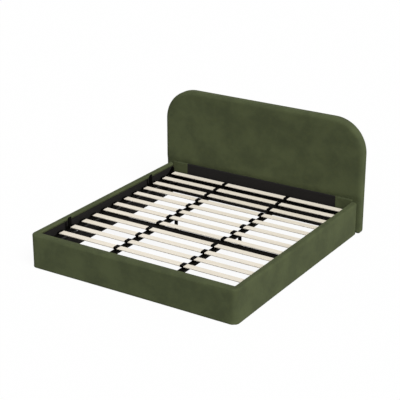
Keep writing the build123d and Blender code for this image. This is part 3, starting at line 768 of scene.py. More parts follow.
@dataclass(frozen=True)
class MouldedPlastic(Finish):
    """Polypropylene moulded against a spark-eroded tool.

    The tool leaves a fine even grain, so matt that the black hardly shines.
    """

    name: ClassVar[str] = "black_moulded_polypropylene"
    shade: str = "#050403"
    worn: str = "#0c0b0a"
    grain_mm: float = 1.6
    grain_depth_mm: float = 0.1
    dull: float = 0.6
    glint: float = 0.02

    def build(self, swatch: Swatch) -> None:
        """Set the shader and add the nodes that feed it.

        Args:
            swatch: The material in the making.
        """
        tree, shader, place = swatch.tree, swatch.shader, swatch.place
        grain = add_node(
            tree, "TexNoise", {"Scale": 1000 / self.grain_mm, "Detail": 2.0}, {"Vector": place}
        )
        shade = add_node(
            tree,
            "Mix",
            {6: linear(self.shade), 7: linear(self.worn)},
            {0: grain.outputs[0]},
            data_type="RGBA",
        )
        eroded = add_node(
            tree,
            "Bump",
            {"Strength": 0.2, "Distance": self.grain_depth_mm * MM},
            {"Height": grain.outputs[0]},
        )
        tree.links.new(shade.outputs[2], shader.inputs["Base Color"])
        tree.links.new(eroded.outputs[0], shader.inputs["Normal"])
        shader.inputs["Roughness"].default_value = self.dull
        shader.inputs["IOR"].default_value = 1.49
        shader.inputs["Specular IOR Level"].default_value = self.glint


@dataclass(frozen=True)
class MouldedRubber(MouldedPlastic):
    """Black rubber, moulded soft. It is duller than plastic, and faintly grey where dust sits."""

    name: ClassVar[str] = "black_moulded_rubber"
    shade: str = "#151413"
    worn: str = "#24221f"
    grain_mm: float = 3.0
    dull: float = 0.85


@dataclass(frozen=True)
class ZincPlatedSteel(Finish):
    """Pressed steel with a bright zinc plate.

    The plate is silvery and slightly cloudy, with fine rub marks.
    """

    name: ClassVar[str] = "zinc_plated_steel"
    bright: str = "#c9cbcd"
    cloudy: str = "#aeb1b5"
    cloud_mm: float = 12.0

    def build(self, swatch: Swatch) -> None:
        """Set the shader and add the nodes that feed it.

        Args:
            swatch: The material in the making.
        """
        tree, shader, place = swatch.tree, swatch.shader, swatch.place
        clouds = add_node(
            tree, "TexNoise", {"Scale": 1000 / self.cloud_mm, "Detail": 5.0}, {"Vector": place}
        )
        shade = add_node(
            tree,
            "Mix",
            {6: linear(self.bright), 7: linear(self.cloudy)},
            {0: clouds.outputs[0]},
            data_type="RGBA",
        )
        rubbed = add_node(
            tree,
            "MapRange",
            {"From Min": 0.3, "From Max": 0.7, "To Min": 0.28, "To Max": 0.45},
            {"Value": clouds.outputs[0]},
        )
        tree.links.new(shade.outputs[2], shader.inputs["Base Color"])
        tree.links.new(rubbed.outputs[0], shader.inputs["Roughness"])
        shader.inputs["Metallic"].default_value = 1.0


@dataclass(frozen=True)
class HardChrome(Finish):
    """Ground steel rod with hard chrome. It mirrors its surroundings, a little clouded by grinding marks."""

    name: ClassVar[str] = "hard_chromed_steel"
    bright: str = "#d6d8da"
    marks_mm: float = 1.5

    def build(self, swatch: Swatch) -> None:
        """Set the shader and add the nodes that feed it.

        Args:
            swatch: The material in the making.
        """
        tree, shader, place = swatch.tree, swatch.shader, swatch.place
        marks = add_node(
            tree, "TexNoise", {"Scale": 1000 / self.marks_mm, "Detail": 2.0}, {"Vector": place}
        )
        ground = add_node(
            tree,
            "MapRange",
            {"From Min": 0.3, "From Max": 0.7, "To Min": 0.08, "To Max": 0.16},
            {"Value": marks.outputs[0]},
        )
        tree.links.new(ground.outputs[0], shader.inputs["Roughness"])
        shader.inputs["Base Color"].default_value = linear(self.bright)
        shader.inputs["Metallic"].default_value = 1.0


@dataclass(frozen=True)
class WovenWebbing(Finish):
    """Polyester webbing, woven narrow. Its ribs run across and catch small lines of light from their bumps,
    and each rib also carries a painted highlight.
    """

    name: ClassVar[str] = "black_polyester_webbing"
    shade: str = "#121211"
    # Painted highlight: the lighter colour laid along each rib
    painted_rib_highlight: str = "#22211f"
    # The ribs lie 1 mm apart. They are drawn 15.7 mm apart, or they wouldn't show.
    rib_mm: float = 15.7
    rib_height_mm: float = 0.4

    def build(self, swatch: Swatch) -> None:
        """Set the shader and add the nodes that feed it.

        Args:
            swatch: The material in the making.
        """
        tree, shader, place = swatch.tree, swatch.shader, swatch.place
        ribs = add_node(
            tree,
            "TexWave",
            {"Scale": WAVE_BAND / (self.rib_mm * MM), "Distortion": 0.4},
            {"Vector": place},
            bands_direction="Z",
        )
        # Painted highlight: the wave bands mix a lighter colour onto the ribs
        shade = add_node(
            tree,
            "Mix",
            {6: linear(self.shade), 7: linear(self.painted_rib_highlight)},
            {0: ribs.outputs[1]},
            data_type="RGBA",
        )
        raised = add_node(
            tree,
            "Bump",
            {"Strength": 0.6, "Distance": self.rib_height_mm * MM},
            {"Height": ribs.outputs[1]},
        )
        tree.links.new(shade.outputs[2], shader.inputs["Base Color"])
        tree.links.new(raised.outputs[0], shader.inputs["Normal"])
        shader.inputs["Roughness"].default_value = 0.8


class Slot(Enum):
    """The record's material slots of the new pieces. Nothing in the script reads them."""

    VELVET = "olive_velvet"
    LINING = "lining_cloth"
    BACK_CLOTH = "back_cloth"
    ZINC = "zinc_steel"
    WEBBING = "strap_webbing"


class Side(Enum):
    """The bed's two long sides."""

    LEFT = -1
    RIGHT = 1


# The bed


@dataclass
class Bed:
    """Sizes that the whole bed shares, in metres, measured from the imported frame."""

    half_width: float
    panel_inner: float
    panel_top: float
    foot_face: float
    foot_inner: float
    head_plane: float
    back_face: float
    headboard_half_width: float
    headboard_top: float
    glide_height: float
    head_panel_front: float
    head_panel_top: float

    @classmethod
    def measured(cls) -> Bed:
        """Read the sizes from the CAD nodes' boxes.

        Returns:
            The sizes.
        """
        skin_low, skin_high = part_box("side_upholstery_right")
        foot_low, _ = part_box("foot_upholstery")
        _, lining_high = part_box("foot_lining")
        board_low, board_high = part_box("head_end_board")
        headboard_low, headboard_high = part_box("headboard_upholstery")
        return cls(
            half_width=skin_high.x,
            panel_inner=skin_low.x,
            panel_top=skin_high.z,
            foot_face=foot_low.y,
            foot_inner=lining_high.y,
            head_plane=headboard_low.y,
            back_face=headboard_high.y,
            headboard_half_width=headboard_high.x,
            headboard_top=headboard_high.z,
            glide_height=skin_low.z,
            head_panel_front=board_low.y,
            head_panel_top=board_high.z,
        )


class Anchor(Enum):
    """The face that a point of the base cover's section is measured from."""

    OUTSIDE = "outside"
    BOARD = "board"
    INSIDE = "inside"


@dataclass(frozen=True)
class Station:
    """One place along the base cover, seen from above."""

    outside: Point
    inside: Point
    inward: Point
    foam: float

    def spot(self, anchor: Anchor, depth: float, height: float) -> Spot:
        """Place a point of the section here.

        Args:
            anchor: The face that the point is measured from.
            depth: How far from that face it lies, towards the panel's middle.
            height: Its height.

        Returns:
            The point in the room.
        """
        if anchor is Anchor.INSIDE:
            from_face, step = self.inside, -depth
        elif anchor is Anchor.BOARD:
            from_face, step = self.outside, self.foam
        else:
            from_face, step = self.outside, depth
        return (from_face[0] + self.inward[0] * step, from_face[1] + self.inward[1] * step, height)

    def mirrored(self) -> Station:
        """The same place on the bed's other side."""
        return Station(*((-x, y) for x, y in (self.outside, self.inside, self.inward)), self.foam)


@dataclass
class BaseCover:
    """The velvet cover that runs in one length round the foot and both sides of the base."""

    bed: Bed
    velvet: ShortPileVelvet
    corner_radius: float = 52 * MM
    top_radius: float = 14 * MM
    inner_radius: float = 8 * MM
    inner_corner_radius: float = 5 * MM
    floor_radius: float = 4 * MM
    side_foam: float = 21 * MM
    corner_foam: float = 14 * MM
    foot_foam: float = 36 * MM
    top_padding: float = 25 * MM
    end_radius: float = 18 * MM
    station: float = 24 * MM
    row: float = 18 * MM
    hidden_row: float = 60 * MM
    shrink: float = 1.5 * MM
    top_shrink_share: float = 0.5
    inner_shrink_share: float = 0.2
    padding: Padding = Padding(pressure=1.5, furthest=3 * MM)

    def section(self) -> tuple[list[tuple[Anchor, float, float]], list[int]]:
        """The cover's section, as faces, distances from them and heights.

        Returns:
            The points in order round the section, and the numbers of those that are stapled.
        """
        low, high = self.bed.glide_height, self.bed.panel_top
        tucked = high - self.top_padding - MM
        foot, edge, lip = self.floor_radius, self.top_radius, self.inner_radius
        top_sunk, lip_sunk = self.shrink * self.top_shrink_share, self.shrink * self.inner_shrink_share
        points = [(Anchor.BOARD, 0.0, low)]
        for depth, height in corner((foot, low + foot), foot, 270, 180, 3):
            points.append((Anchor.OUTSIDE, depth, height))
        for height in evenly(low + foot, high - edge, self.row)[1:-1]:
            points.append((Anchor.OUTSIDE, self.shrink, height))
        for depth, height in corner((edge, high - edge), edge, 180, 90, 6):
            points.append((Anchor.OUTSIDE, depth + top_sunk, height - top_sunk))
        for depth, height in corner((lip, high - lip), lip, 90, 180, 4):
            points.append((Anchor.INSIDE, depth + lip_sunk, height - top_sunk))
        first_hidden = len(points)
        points.append((Anchor.INSIDE, 0.0, tucked))
        points.append((Anchor.BOARD, 0.0, tucked))
        for height in evenly(tucked, low, self.hidden_row)[1:-1]:
            points.append((Anchor.BOARD, 0.0, height))
        return points, [0, 1, *range(first_hidden, len(points))]

    def path(self) -> list[Station]:
        """Stations round the base from the right side's head end to the left side's.

        Returns:
            The stations.
        """
        bed, radius, turn = self.bed, self.corner_radius, self.inner_corner_radius
        head, side_end = bed.head_plane - MM, bed.foot_face + radius
        inside_end = bed.foot_inner + turn
        side_share = (head - inside_end) / (head - side_end)
        foot_share = (bed.panel_inner - turn) / (bed.half_width - radius)
        right: list[Station] = []
        turn_start = head - self.end_radius
        turned = corner((bed.half_width - self.end_radius, turn_start), self.end_radius, 90, 0, 6)
        straight = [(bed.half_width, y) for y in evenly(turn_start, side_end, self.station)[1:-1]]
        for x, y in [*turned, *straight]:
            inside = (bed.panel_inner, head + (y - head) * side_share)
            right.append(Station((x, y), inside, (-1.0, 0.0), self.side_foam - bed.half_width + x))
        for x, y in corner((0.0, 0.0), 1.0, 0, -90, 9):
            outside = (bed.half_width - radius + radius * x, side_end + radius * y)
            inside = (bed.panel_inner - turn + turn * x, inside_end + turn * y)
            right.append(Station(outside, inside, (-x, -y), self.corner_foam))
        foot = [
            Station(
                (across, bed.foot_face), (across * foot_share, bed.foot_inner), (0.0, 1.0), self.foot_foam
            )
            for across in evenly(bed.half_width - radius, -bed.half_width + radius, self.station)[1:-1]
        ]
        return [*right, *foot, *(station.mirrored() for station in reversed(right))]

    def build(self) -> bpy.types.Object:
        """Returns:
            The cover.
        """
        section, stapled = self.section()
        path = self.path()
        spots = [station.spot(*point) for station in path for point in section]
        around = len(section)
        faces = ring_faces(len(path), around, closed=True) + end_faces(len(path), around)
        cover = mesh_piece("base_velvet_cover", spots, faces)
        held = [ring * around + place for ring in range(len(path)) for place in stapled]
        held += list(range(around)) + list(range((len(path) - 1) * around, len(path) * around))
        self.padding.fill(cover, sorted(set(held)))
        dress(cover, self.velvet)
        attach(cover, "base")
        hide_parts("side_upholstery_left", "side_upholstery_right", "foot_upholstery")
        return cover


@dataclass
class Headboard:
    """The padded velvet headboard with its back cloth and the staples that hold it."""

    bed: Bed
    velvet: ShortPileVelvet
    back_cloth: SpunCloth
    staple_steel: ZincPlatedSteel
    top_radius: float = 308 * MM
    foot_radius: float = 24 * MM
    soft_edge: float = 40 * MM
    soft_depth: float = 17 * MM
    reach_share: float = 0.85
    swell: float = 9 * MM
    swell_start: float = 8 * MM
    swell_rise: float = 60 * MM
    back_radius: float = 20 * MM
    rim: float = 24 * MM
    rim_turn: float = 2 * MM
    back_recess: float = 4 * MM
    spacing: float = 20 * MM
    side_spacing: float = 12 * MM
    grid_gap: float = 12 * MM
    shrink: float = 1.5 * MM
    set_back: float = 4 * MM
    cloth_lap: float = 6 * MM
    cloth_recess: float = 2.8 * MM
    cloth_ripple: float = 0.8 * MM
    ripples_across: float = 6.0
    ripples_up: float = 5.0
    staple_step: float = 70 * MM
    staple_inset: float = 2 * MM
    staple_half_length: float = 5 * MM
    staple_wire: float = 0.6 * MM
    padding: Padding = Padding(pressure=2.2, furthest=3.5 * MM)

    def front(self) -> float:
        """The place along Y of the padded front before it fills out."""
        return self.bed.head_plane + self.set_back

    def outline(self) -> list[tuple[Point, Point]]:
        """The headboard's outline, seen from the front.

        Returns:
            Each point and the direction inward there.
        """
        half, low, high = self.bed.headboard_half_width, self.bed.glide_height, self.bed.headboard_top
        top, foot = self.top_radius, self.foot_radius
        placed: list[tuple[Point, Point]] = []

        def arc(centre: Point, radius: float, start: float, stop: float, steps: int) -> None:
            """Add a rounded corner, from one angle in degrees to another, to the outline."""
            for x, y in corner((0.0, 0.0), 1.0, start, stop, steps):
                placed.append(((centre[0] + radius * x, centre[1] + radius * y), (-x, -y)))

        arc((-half + foot, low + foot), foot, 270, 180, 6)
        placed.extend(((-half, z), (1.0, 0.0)) for z in evenly(low + foot, high - top, self.spacing)[1:-1])
        arc((-half + top, high - top), top, 180, 90, 24)
        placed.extend(
            ((x, high), (0.0, -1.0)) for x in evenly(-half + top, half - top, self.spacing)[1:-1]
        )
        arc((half - top, high - top), top, 90, 0, 24)
        placed.extend(((half, z), (-1.0, 0.0)) for z in evenly(high - top, low + foot, self.spacing)[1:-1])
        arc((half - foot, low + foot), foot, 0, -90, 6)
        placed.extend(
            ((x, low), (0.0, 1.0)) for x in evenly(half - foot, -half + foot, self.spacing)[1:-1]
        )
        return placed

    def rings(self) -> list[Point]:
        """The rim's section, from its back to its front.

        Returns:
            Distances in from the outline and places along Y.
        """
        front, back, radius = self.front(), self.bed.back_face, self.back_radius
        rows = [(self.rim, back - self.back_recess), (self.rim - self.rim_turn, back - MM)]
        rows += corner((radius, back - radius), radius, 90, 180, 5)
        rows += [(0.0, y) for y in evenly(back - radius, front + self.soft_depth, self.side_spacing)[1:-1]]
        rows += [
            (self.soft_edge * (1 + x), front + self.soft_depth * (1 + y))
            for x, y in corner((0.0, 0.0), 1.0, 180, 270, 9)
        ]
        return [(depth + self.shrink, y) for depth, y in rows]

    def room(self, x: float, z: float) -> float:
        """How far the rim's section may reach in from a point of the outline.

        It is less by the small foot corners, where the section would cross itself.

        Args:
            x: The point's place across the bed.
            z: Its height.

        Returns:
            The furthest reach.
        """
        from_side, from_floor = self.bed.headboard_half_width - abs(x), z - self.bed.glide_height
        return self.reach_share * max(self.foot_radius, from_side, from_floor)

    def sunk(self, x: float, z: float) -> float:
        """How far the padded front lies back at a place inside the outline.

        Args:
            x: The place across the bed.
            z: Its height.

        Returns:
            The distance back from the flat middle.
        """
        half, low, high = self.bed.headboard_half_width, self.bed.glide_height, self.bed.headboard_top
        depth = min(half - abs(x), high - z, z - low)
        past_top, past_foot = z - high + self.top_radius, low + self.foot_radius - z
        for radius, over in ((self.top_radius, past_top), (self.foot_radius, past_foot)):
            past = abs(x) - half + radius
            if past > 0 and over > 0:
                depth = radius - math.hypot(past, over)
        outside = max(0.0, 1 - (depth - self.shrink) / self.soft_edge)
        return self.soft_depth * (1 - math.sqrt(1 - min(outside, 1.0) ** 2))

    def swollen(self, spot: Spot) -> Spot:
        """Move a point forward where the padding is free of the base, most of all on the front.

        Args:
            spot: The point.

        Returns:
            The moved point.
        """
        x, y, z = spot
        rise = eased((z - self.bed.panel_top - self.swell_start) / self.swell_rise)
        behind = (y - self.front()) / (2 * self.soft_depth)
        return (x, y - self.swell * rise * min(1.0, max(0.0, 1 - behind)), z)

    def front_grid(self, edge: Sequence[Point]) -> tuple[list[Point], list[Face]]:
        """Fill the flat front inside its rounded edge.

        Args:
            edge: The points where the rounded edge meets the front.

        Returns:
            The points, the edge's own first, and the faces.
        """
        inner: list[Point] = []
        half, high = self.bed.headboard_half_width, self.bed.headboard_top
        clear = self.soft_edge + self.grid_gap
        for x in evenly(-half + clear, half - clear, self.spacing):
            for z in evenly(self.bed.glide_height + clear, high - clear, self.spacing):
                across, up = abs(x) - half + self.top_radius, z - high + self.top_radius
                in_corner = across > 0 and up > 0
                if not in_corner or math.hypot(across, up) < self.top_radius - clear:
                    inner.append((x, z))
        count = len(edge)
        loop = [(number, (number + 1) % count) for number in range(count)]
        points, _, faces, origins, _, _ = delaunay_2d_cdt(
            [Vector(point) for point in [*edge, *inner]], loop, [], 1, 1e-5
        )
        order = {number: found[0] for number, found in enumerate(origins) if found}
        if len(points) != count + len(inner):
            LOG.warning("the front grid changed its points: %d for %d", len(points), count + len(inner))
        kept = [tuple(order[number] for number in face) for face in faces]
        return [*edge, *inner], kept

    def build_cover(self) -> bpy.types.Object:
        """Returns:
            The cover.
        """
        outline, rings, front = self.outline(), self.rings(), self.front()
        around = len(outline)
        spots: list[Spot] = []
        for depth, y in rings:
            for place, inward in outline:
                reach = min(depth, self.room(*place))
                x, z = place[0] + inward[0] * reach, place[1] + inward[1] * reach
                spots.append((x, y if reach == depth else max(y, front + self.sunk(x, z)), z))
        faces = ring_faces(len(rings), around, closed=True)
        last = (len(rings) - 1) * around
        grid, grid_faces = self.front_grid([(x, z) for x, _, z in spots[last:]])
        spots += [(x, front + self.sunk(x, z), z) for x, z in grid[around:]]
        faces += [tuple(last + number for number in face) for face in grid_faces]
        faces.append(tuple(range(around)))
        cover = mesh_piece("headboard_velvet_cover", [self.swollen(spot) for spot in spots], faces)
        stapled = list(range(4 * around))
        stapled += [number for number, (_, _, z) in enumerate(spots) if z < self.bed.glide_height + 2 * MM]
        self.padding.fill(cover, sorted(set(stapled)))
        dress(cover, self.velvet)
        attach(cover, "base")
        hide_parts("headboard_upholstery")
        return cover

    def build_back(self) -> bpy.types.Object:
        """Make the cloth stapled over the headboard's back.

        Returns:
            The cloth.
        """
        inset = self.rim - self.cloth_lap
        edge = [(x + inward[0] * inset, z + inward[1] * inset) for (x, z), inward in self.outline()]
        grid, faces = self.front_grid(edge)
        back = self.bed.back_face - self.cloth_recess
        spots = [
            (x, back + self.cloth_ripple * ripple(1.0, x * self.ripples_across, z * self.ripples_up), z)
            for x, z in grid
        ]
        cloth = mesh_piece("headboard_back_cover", spots, faces)
        dress(cloth, self.back_cloth)
        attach(cloth, "base")
        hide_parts("headboard_back_cloth")
        return cloth

    def staple(self, middle: Vector, along: Vector) -> list[Spot]:
        """The corners of one staple's back.

        Args:
            middle: Its middle.
            along: The direction that it lies in.

        Returns:
            The four corners in the cloth, then the four that stand out of it.
        """
        back = self.bed.back_face - self.cloth_recess + 2 * self.staple_wire
        cross = Vector((along.z, 0.0, -along.x))
        spots: list[Spot] = []
        for depth in (-2 * self.staple_wire, self.staple_wire):
            for end, edge in ((-1, -1), (1, -1), (1, 1), (-1, 1)):
                spot = middle + along * self.staple_half_length * end + cross * self.staple_wire * edge
                spots.append((spot.x, back + depth, spot.z))
        return spots

    def build_staples(self) -> bpy.types.Object:
        """Make the row of wire staples round the back cloth.

        Returns:
            The staples, as one piece.
        """
        inset = self.rim + self.staple_inset
        line = [
            Vector((x + inward[0] * inset, 0.0, z + inward[1] * inset)) for (x, z), inward in self.outline()
        ]
        spots: list[Spot] = []
        faces: list[Face] = []
        travelled, due = 0.0, 0.0
        for here, after in zip(line, line[1:] + line[:1]):
            run = (after - here).length
            while due <= travelled + run:
                first = len(spots)
                spots += self.staple(here.lerp(after, (due - travelled) / run), (after - here).normalized())
                sides = [*ring_faces(2, 4, closed=True), (0, 1, 2, 3), (4, 5, 6, 7)]
                faces += [tuple(first + number for number in face) for face in sides]
                due += self.staple_step
            travelled += run
        staples = mesh_piece("headboard_back_staples", spots, faces, smooth=False)
        dress(staples, self.staple_steel)
        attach(staples, "base")
        return staples


@dataclass
class HeadEnd:
    """The strip in front of the headboard: two velvet corner pads and the black lining between them."""

    bed: Bed
    velvet: ShortPileVelvet
    lining: SpunCloth
    pad_width: float = 162 * MM
    pad_bottom: float = 190 * MM
    pad_depth: float = 4 * MM
    edge_radius: float = 4 * MM
    turn_over: float = 1.6 * MM
    tucked_in: float = 3 * MM
    end_gap: float = 0.4 * MM
    side_row_share: float = 0.3
    side_draw_share: float = 0.9
    next_draw_share: float = 0.36
    pad_spacing: float = 9 * MM
    cloth_stand: float = 1.2 * MM
    cloth_rise: float = 1 * MM
    cloth_bend: Point = (0.6 * MM, 2 * MM)
    cloth_gap: float = 2 * MM
    cloth_lap: float = 3 * MM
    cloth_column: float = 30 * MM
    cloth_row: float = 24 * MM
    cloth_ripple: float = 0.5 * MM
    ripples_across: float = 7.0
    ripples_up: float = 12.0
    padding: Padding = Padding(pressure=1.0, furthest=2 * MM)

    def pad_section(self) -> list[Point]:
        """The pad's section, from its foot up its front and back over the board's top edge.

        Returns:
            Places along Y and heights. The last two lie on the board's top.
        """
        bed, radius = self.bed, self.edge_radius
        low, high = self.pad_bottom, bed.head_panel_top + self.turn_over
        front, back = bed.head_panel_front - self.pad_depth, bed.head_plane + self.tucked_in
        section = [(bed.head_panel_front, low)]
        section += corner((front + radius, low + radius), radius, 270, 180, 3)
        section += [(front, z) for z in evenly(low + radius, high - radius, self.pad_spacing)[1:-1]]
        section += corner((front + radius, high - radius), radius, 180, 90, 3)
        section += [(back, high), (back, bed.head_panel_top), (bed.head_panel_front, bed.head_panel_top)]
        return section

    def pad_rows(self) -> list[tuple[float, float]]:
        """Where the pad's sections stand, from the bed's middle to its side.

        Returns:
            Each one's place across the bed and how far its front is drawn in to the board, as a share. The
            last two wrap the board's bare end.
        """
        outer, inner = self.bed.panel_inner - self.end_gap, self.bed.panel_inner - self.pad_width
        near, radius = self.edge_radius * self.side_row_share, self.edge_radius
        drawn, next_drawn = self.side_draw_share, self.next_draw_share
        middle = [(x, 0.0) for x in evenly(inner + radius, outer - radius, self.pad_spacing)]
        rows = [(inner, drawn), (inner + near, next_drawn), *middle, (outer - near, next_drawn)]
        return rows + [(outer, drawn), (outer, drawn), (outer + self.turn_over, drawn)]

    def build_pad(self, side: Side) -> bpy.types.Object:
        """Make one velvet pad, which turns back over the board's top edge and its bare end.

        Args:
            side: Which end of the strip the pad is on.

        Returns:
            The pad.
        """
        section, rows = self.pad_section(), self.pad_rows()
        face, over_end = self.bed.head_panel_front, self.bed.panel_top + MM
        around, count = len(section), len(rows)
        spots: list[Spot] = []
        for row, (x, drawn) in enumerate(rows):
            for place, (y, z) in enumerate(section):
                if row >= count - 2:
                    z = over_end if place >= around - 2 else max(z, over_end)
                spots.append((side.value * x, y + max(0.0, face - y) * drawn, z))
        faces = ring_faces(count, around, closed=True) + end_faces(count, around)
        pad = mesh_piece(f"corner_pad_{side.name.lower()}", spots, faces)
        stapled = (0, 1, *range(around - 4, around))
        held = [row * around + place for row in range(count) for place in stapled]
        held += [*range(2 * around), *range((count - 4) * around, count * around)]
        self.padding.fill(pad, sorted(set(held)))
        dress(pad, self.velvet)
        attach(pad, "base")
        return pad

    def strip(
        self, columns: Sequence[float], line: Sequence[Point], first: int
    ) -> tuple[list[Spot], list[Face]]:
        """One strip of the lining, with its section repeated across the bed.

        Args:
            columns: The places across the bed.
            line: The section, as places along Y and heights.
            first: The number that its first point gets.

        Returns:
            The strip's points and faces.
        """
        spots: list[Spot] = []
        for x in columns:
            for y, z in line:
                loose = self.cloth_ripple * ripple(2.0, x * self.ripples_across, z * self.ripples_up)
                spots.append((x, y + loose if y < self.bed.head_panel_front else y, z))
        faces = ring_faces(len(columns), len(line), closed=False)
        return spots, [tuple(first + number for number in face) for face in faces]

    def build_lining(self) -> bpy.types.Object:
        """Make the black cloth, turned back over the board's top edge between the pads.

        Returns:
            The cloth.
        """
        bed = self.bed
        face, top = bed.head_panel_front - self.cloth_stand, bed.head_panel_top + self.cloth_rise
        reach, middle = bed.panel_inner - MM, bed.panel_inner - self.pad_width + self.cloth_gap
        seam, back = self.pad_bottom + self.cloth_lap, bed.head_plane + self.tucked_in
        lower = [(face, z) for z in evenly(bed.glide_height, seam, self.cloth_row)]
        upper = [(face, z) for z in evenly(seam, top - self.cloth_bend[1], self.cloth_row)]
        upper += [(face + self.cloth_bend[0], top), (back, top)]
        spots, faces = self.strip(evenly(-reach, reach, self.cloth_column), lower, 0)
        more_spots, more_faces = self.strip(evenly(-middle, middle, self.cloth_column), upper, len(spots))
        cloth = mesh_piece("head_end_cloth", spots + more_spots, faces + more_faces)
        dress(cloth, self.lining)
        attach(cloth, "base")
        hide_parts("head_lining")
        return cloth

    def build(self) -> list[bpy.types.Object]:
        """Make the strip's pieces.

        Returns:
            The pieces.
        """
        pads = [self.build_pad(side) for side in Side]
        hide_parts("head_corner_pads")
        return [*pads, self.build_lining()]


@dataclass
class PanelLinings:
    """The black cloth stapled to the inside of the side and foot panels."""

    bed: Bed
    lining: SpunCloth
    stand_off: float = 0.9 * MM
    head_gap: float = 2 * MM
    cover_lap: float = 26.5 * MM
    column: float = 30 * MM
    row: float = 24 * MM
    slack: float = 0.7 * MM
    seed_spread: float = 9.0
    ripples_along: float = 6.0
    ripples_up: float = 14.0

    def sheet(
        self, name: str, node: str, start: Point, stop: Point, inward: Point
    ) -> bpy.types.Object:
        """Make one upright sheet of cloth.

        Args:
            name: The piece's name.
            node: The CAD node that it stands for.
            start: Where its foot starts, in plan.
            stop: Where its foot stops.
            inward: The direction into the storage space.

        Returns:
            The sheet.
        """
        low, high = self.bed.glide_height + MM, self.bed.panel_top - self.cover_lap
        length, seed = math.dist(start, stop), start[0] * self.seed_spread
        columns, rows = evenly(0.0, length, self.column), evenly(low, high, self.row)
        spots: list[Spot] = []
        for travelled in columns:
            share = travelled / length
            x, y = (start[axis] + (stop[axis] - start[axis]) * share for axis in (0, 1))
            for z in rows:
                loose = self.slack * math.sin(math.pi * (z - low) / (high - low))
                out = loose * ripple(seed, travelled * self.ripples_along, z * self.ripples_up)
                spots.append((x + inward[0] * out, y + inward[1] * out, z))
        cloth = mesh_piece(name, spots, ring_faces(len(columns), len(rows), closed=False))
        dress(cloth, self.lining)
        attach(cloth, "base")
        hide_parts(node)
        return cloth

    def build(self) -> list[bpy.types.Object]:
        """Make the three sheets.

        Returns:
            The sheets.
        """
        bed, gap = self.bed, self.stand_off
        made: list[bpy.types.Object] = []
        for side in Side:
            across = side.value * (bed.panel_inner + gap)
            made.append(
                self.sheet(
                    f"side_cloth_{side.name.lower()}",
                    f"side_lining_{side.name.lower()}",
                    (across, bed.foot_inner),
                    (across, bed.head_panel_front - self.head_gap),
                    (-side.value, 0.0),
                )
            )
        made.append(
            self.sheet(
                "foot_cloth",
                "foot_lining",
                (-bed.panel_inner + MM, bed.foot_inner - gap),
                (bed.panel_inner - MM, bed.foot_inner - gap),
                (0.0, 1.0),
            )
        )
        return made


@dataclass
class PullStrap:
    """The loop of webbing sewn to the lift frame's foot rail."""

    webbing: WovenWebbing
    thickness: float = 1.8 * MM
    side_gap: float = 1 * MM
    column: float = 6 * MM
    row: float = 12 * MM

    def build(self) -> bpy.types.Object:
        """Make the loop from its CAD box.

        Returns:
            The strap.
        """
        low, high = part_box("pull_strap")
        radius = (high.y - low.y) / 2 - self.thickness / 2
        centre = (low.y + high.y) / 2
        line = corner((centre, high.z - radius - self.thickness), radius, 0, 180, 10)
        line += [(centre - radius, z) for z in evenly(line[-1][1], low.z + radius, self.row)[1:-1]]
        line += corner((centre, low.z + radius + self.thickness), radius, 180, 360, 10)
        line += [(centre + radius, z) for z in evenly(line[-1][1], high.z - radius, self.row)[1:-1]]
        columns = evenly(low.x + self.side_gap, high.x - self.side_gap, self.column)
        spots: list[Spot] = []
        for push in (-self.thickness / 2, self.thickness / 2):
            for x in columns:
                spots += [(x, y + (push if y > centre else -push), z) for y, z in line]
        around, rows = len(line), len(columns)
        shift, last = rows * around, (rows - 1) * around
        faces = ring_faces(rows, around, closed=True)
        faces += [tuple(shift + number for number in reversed(face)) for face in faces]
        for place in range(around):
            after = (place + 1) % around
            faces.append((place, after, shift + after, shift + place))
            faces.append((last + place, shift + last + place, shift + last + after, last + after))
        strap = mesh_piece("foot_pull_strap", spots, faces)
        dress(strap, self.webbing)
        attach(strap, "lift_frame")
        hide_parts("pull_strap")
        return strap


class Hardware:
    """The CAD nodes that keep their own shape and take a finish."""

    def finishes(self) -> dict[Finish, list[str]]:
        """Which nodes take which finish.

        Returns:
            The nodes' names by finish.
        """

        def pairs(*names: str) -> list[str]:
            """The left and right nodes of each name."""
            return [f"{name}_{side.name.lower()}" for name in names for side in Side]

        rails = pairs("side_rail", "centre_rail") + ["foot_rail", "head_rail"]
        tubes = ["foot_cross_tube", "head_cross_tube", "support_legs", "mattress_stops"]
        hinges = pairs("hinge_arm", "hinge_plate") + ["hinge_pins"]
        struts = pairs("strut_bracket", "strut_cylinder", "strut_base_eye", "strut_rod_eye")
        fixings = ["corner_brackets", "panel_bolts", "cross_tube_bolts"]
        caps = pairs("outer_slat_caps", "double_slat_caps")
        return {
            LaminatedBirch(): ["middle_slats", *pairs("side_slats")],
            MouldedPlastic(): [*caps, "hinge_washers", "floor_glides"],
            PowderCoatedSteel(): [*rails, *tubes, *hinges, *struts, *fixings],
            ZincPlatedSteel(): ["wood_screws", "strut_studs"],
            HardChrome(): pairs("strut_rod"),
            MouldedRubber(): ["leg_feet", "rest_pads"],
            SandedPlywood(): ["headboard_plywood", *pairs("side_board"), "foot_board"],
            PlanedPine(): ["headboard_frame"],
            BlackStainedPine(): ["ledges", "head_end_board"],
        }

    def dress(self, nodes: Mapping[str, bpy.types.Object]) -> None:
        """Give each node its finish.

        Args:
            nodes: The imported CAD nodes.
        """
        for finish, names in self.finishes().items():
            for name in names:
                dress(nodes[name], finish)
                LOG.info("dressed %s in %s", name, finish.name)


# The room


def seen_directly(tree: bpy.types.NodeTree) -> bpy.types.NodeSocket:
    """Tell the rays that the camera, a mirror or a pane sees from those that light the bed.

    Args:
        tree: The node tree of the floor or the sky.

    Returns:
        A socket with 1 for a ray that is seen and 0 for one that lights.
    """
    rays = add_node(tree, "LightPath")
    mirrored = add_node(
        tree,
        "Math",
        links={0: rays.outputs["Is Camera Ray"], 1: rays.outputs["Is Glossy Ray"]},
        operation="MAXIMUM",
    )
    seen = add_node(
        tree,
        "Math",
        links={0: mirrored.outputs[0], 1: rays.outputs["Is Transmission Ray"]},
        operation="MAXIMUM",
    )
    return seen.outputs[0]


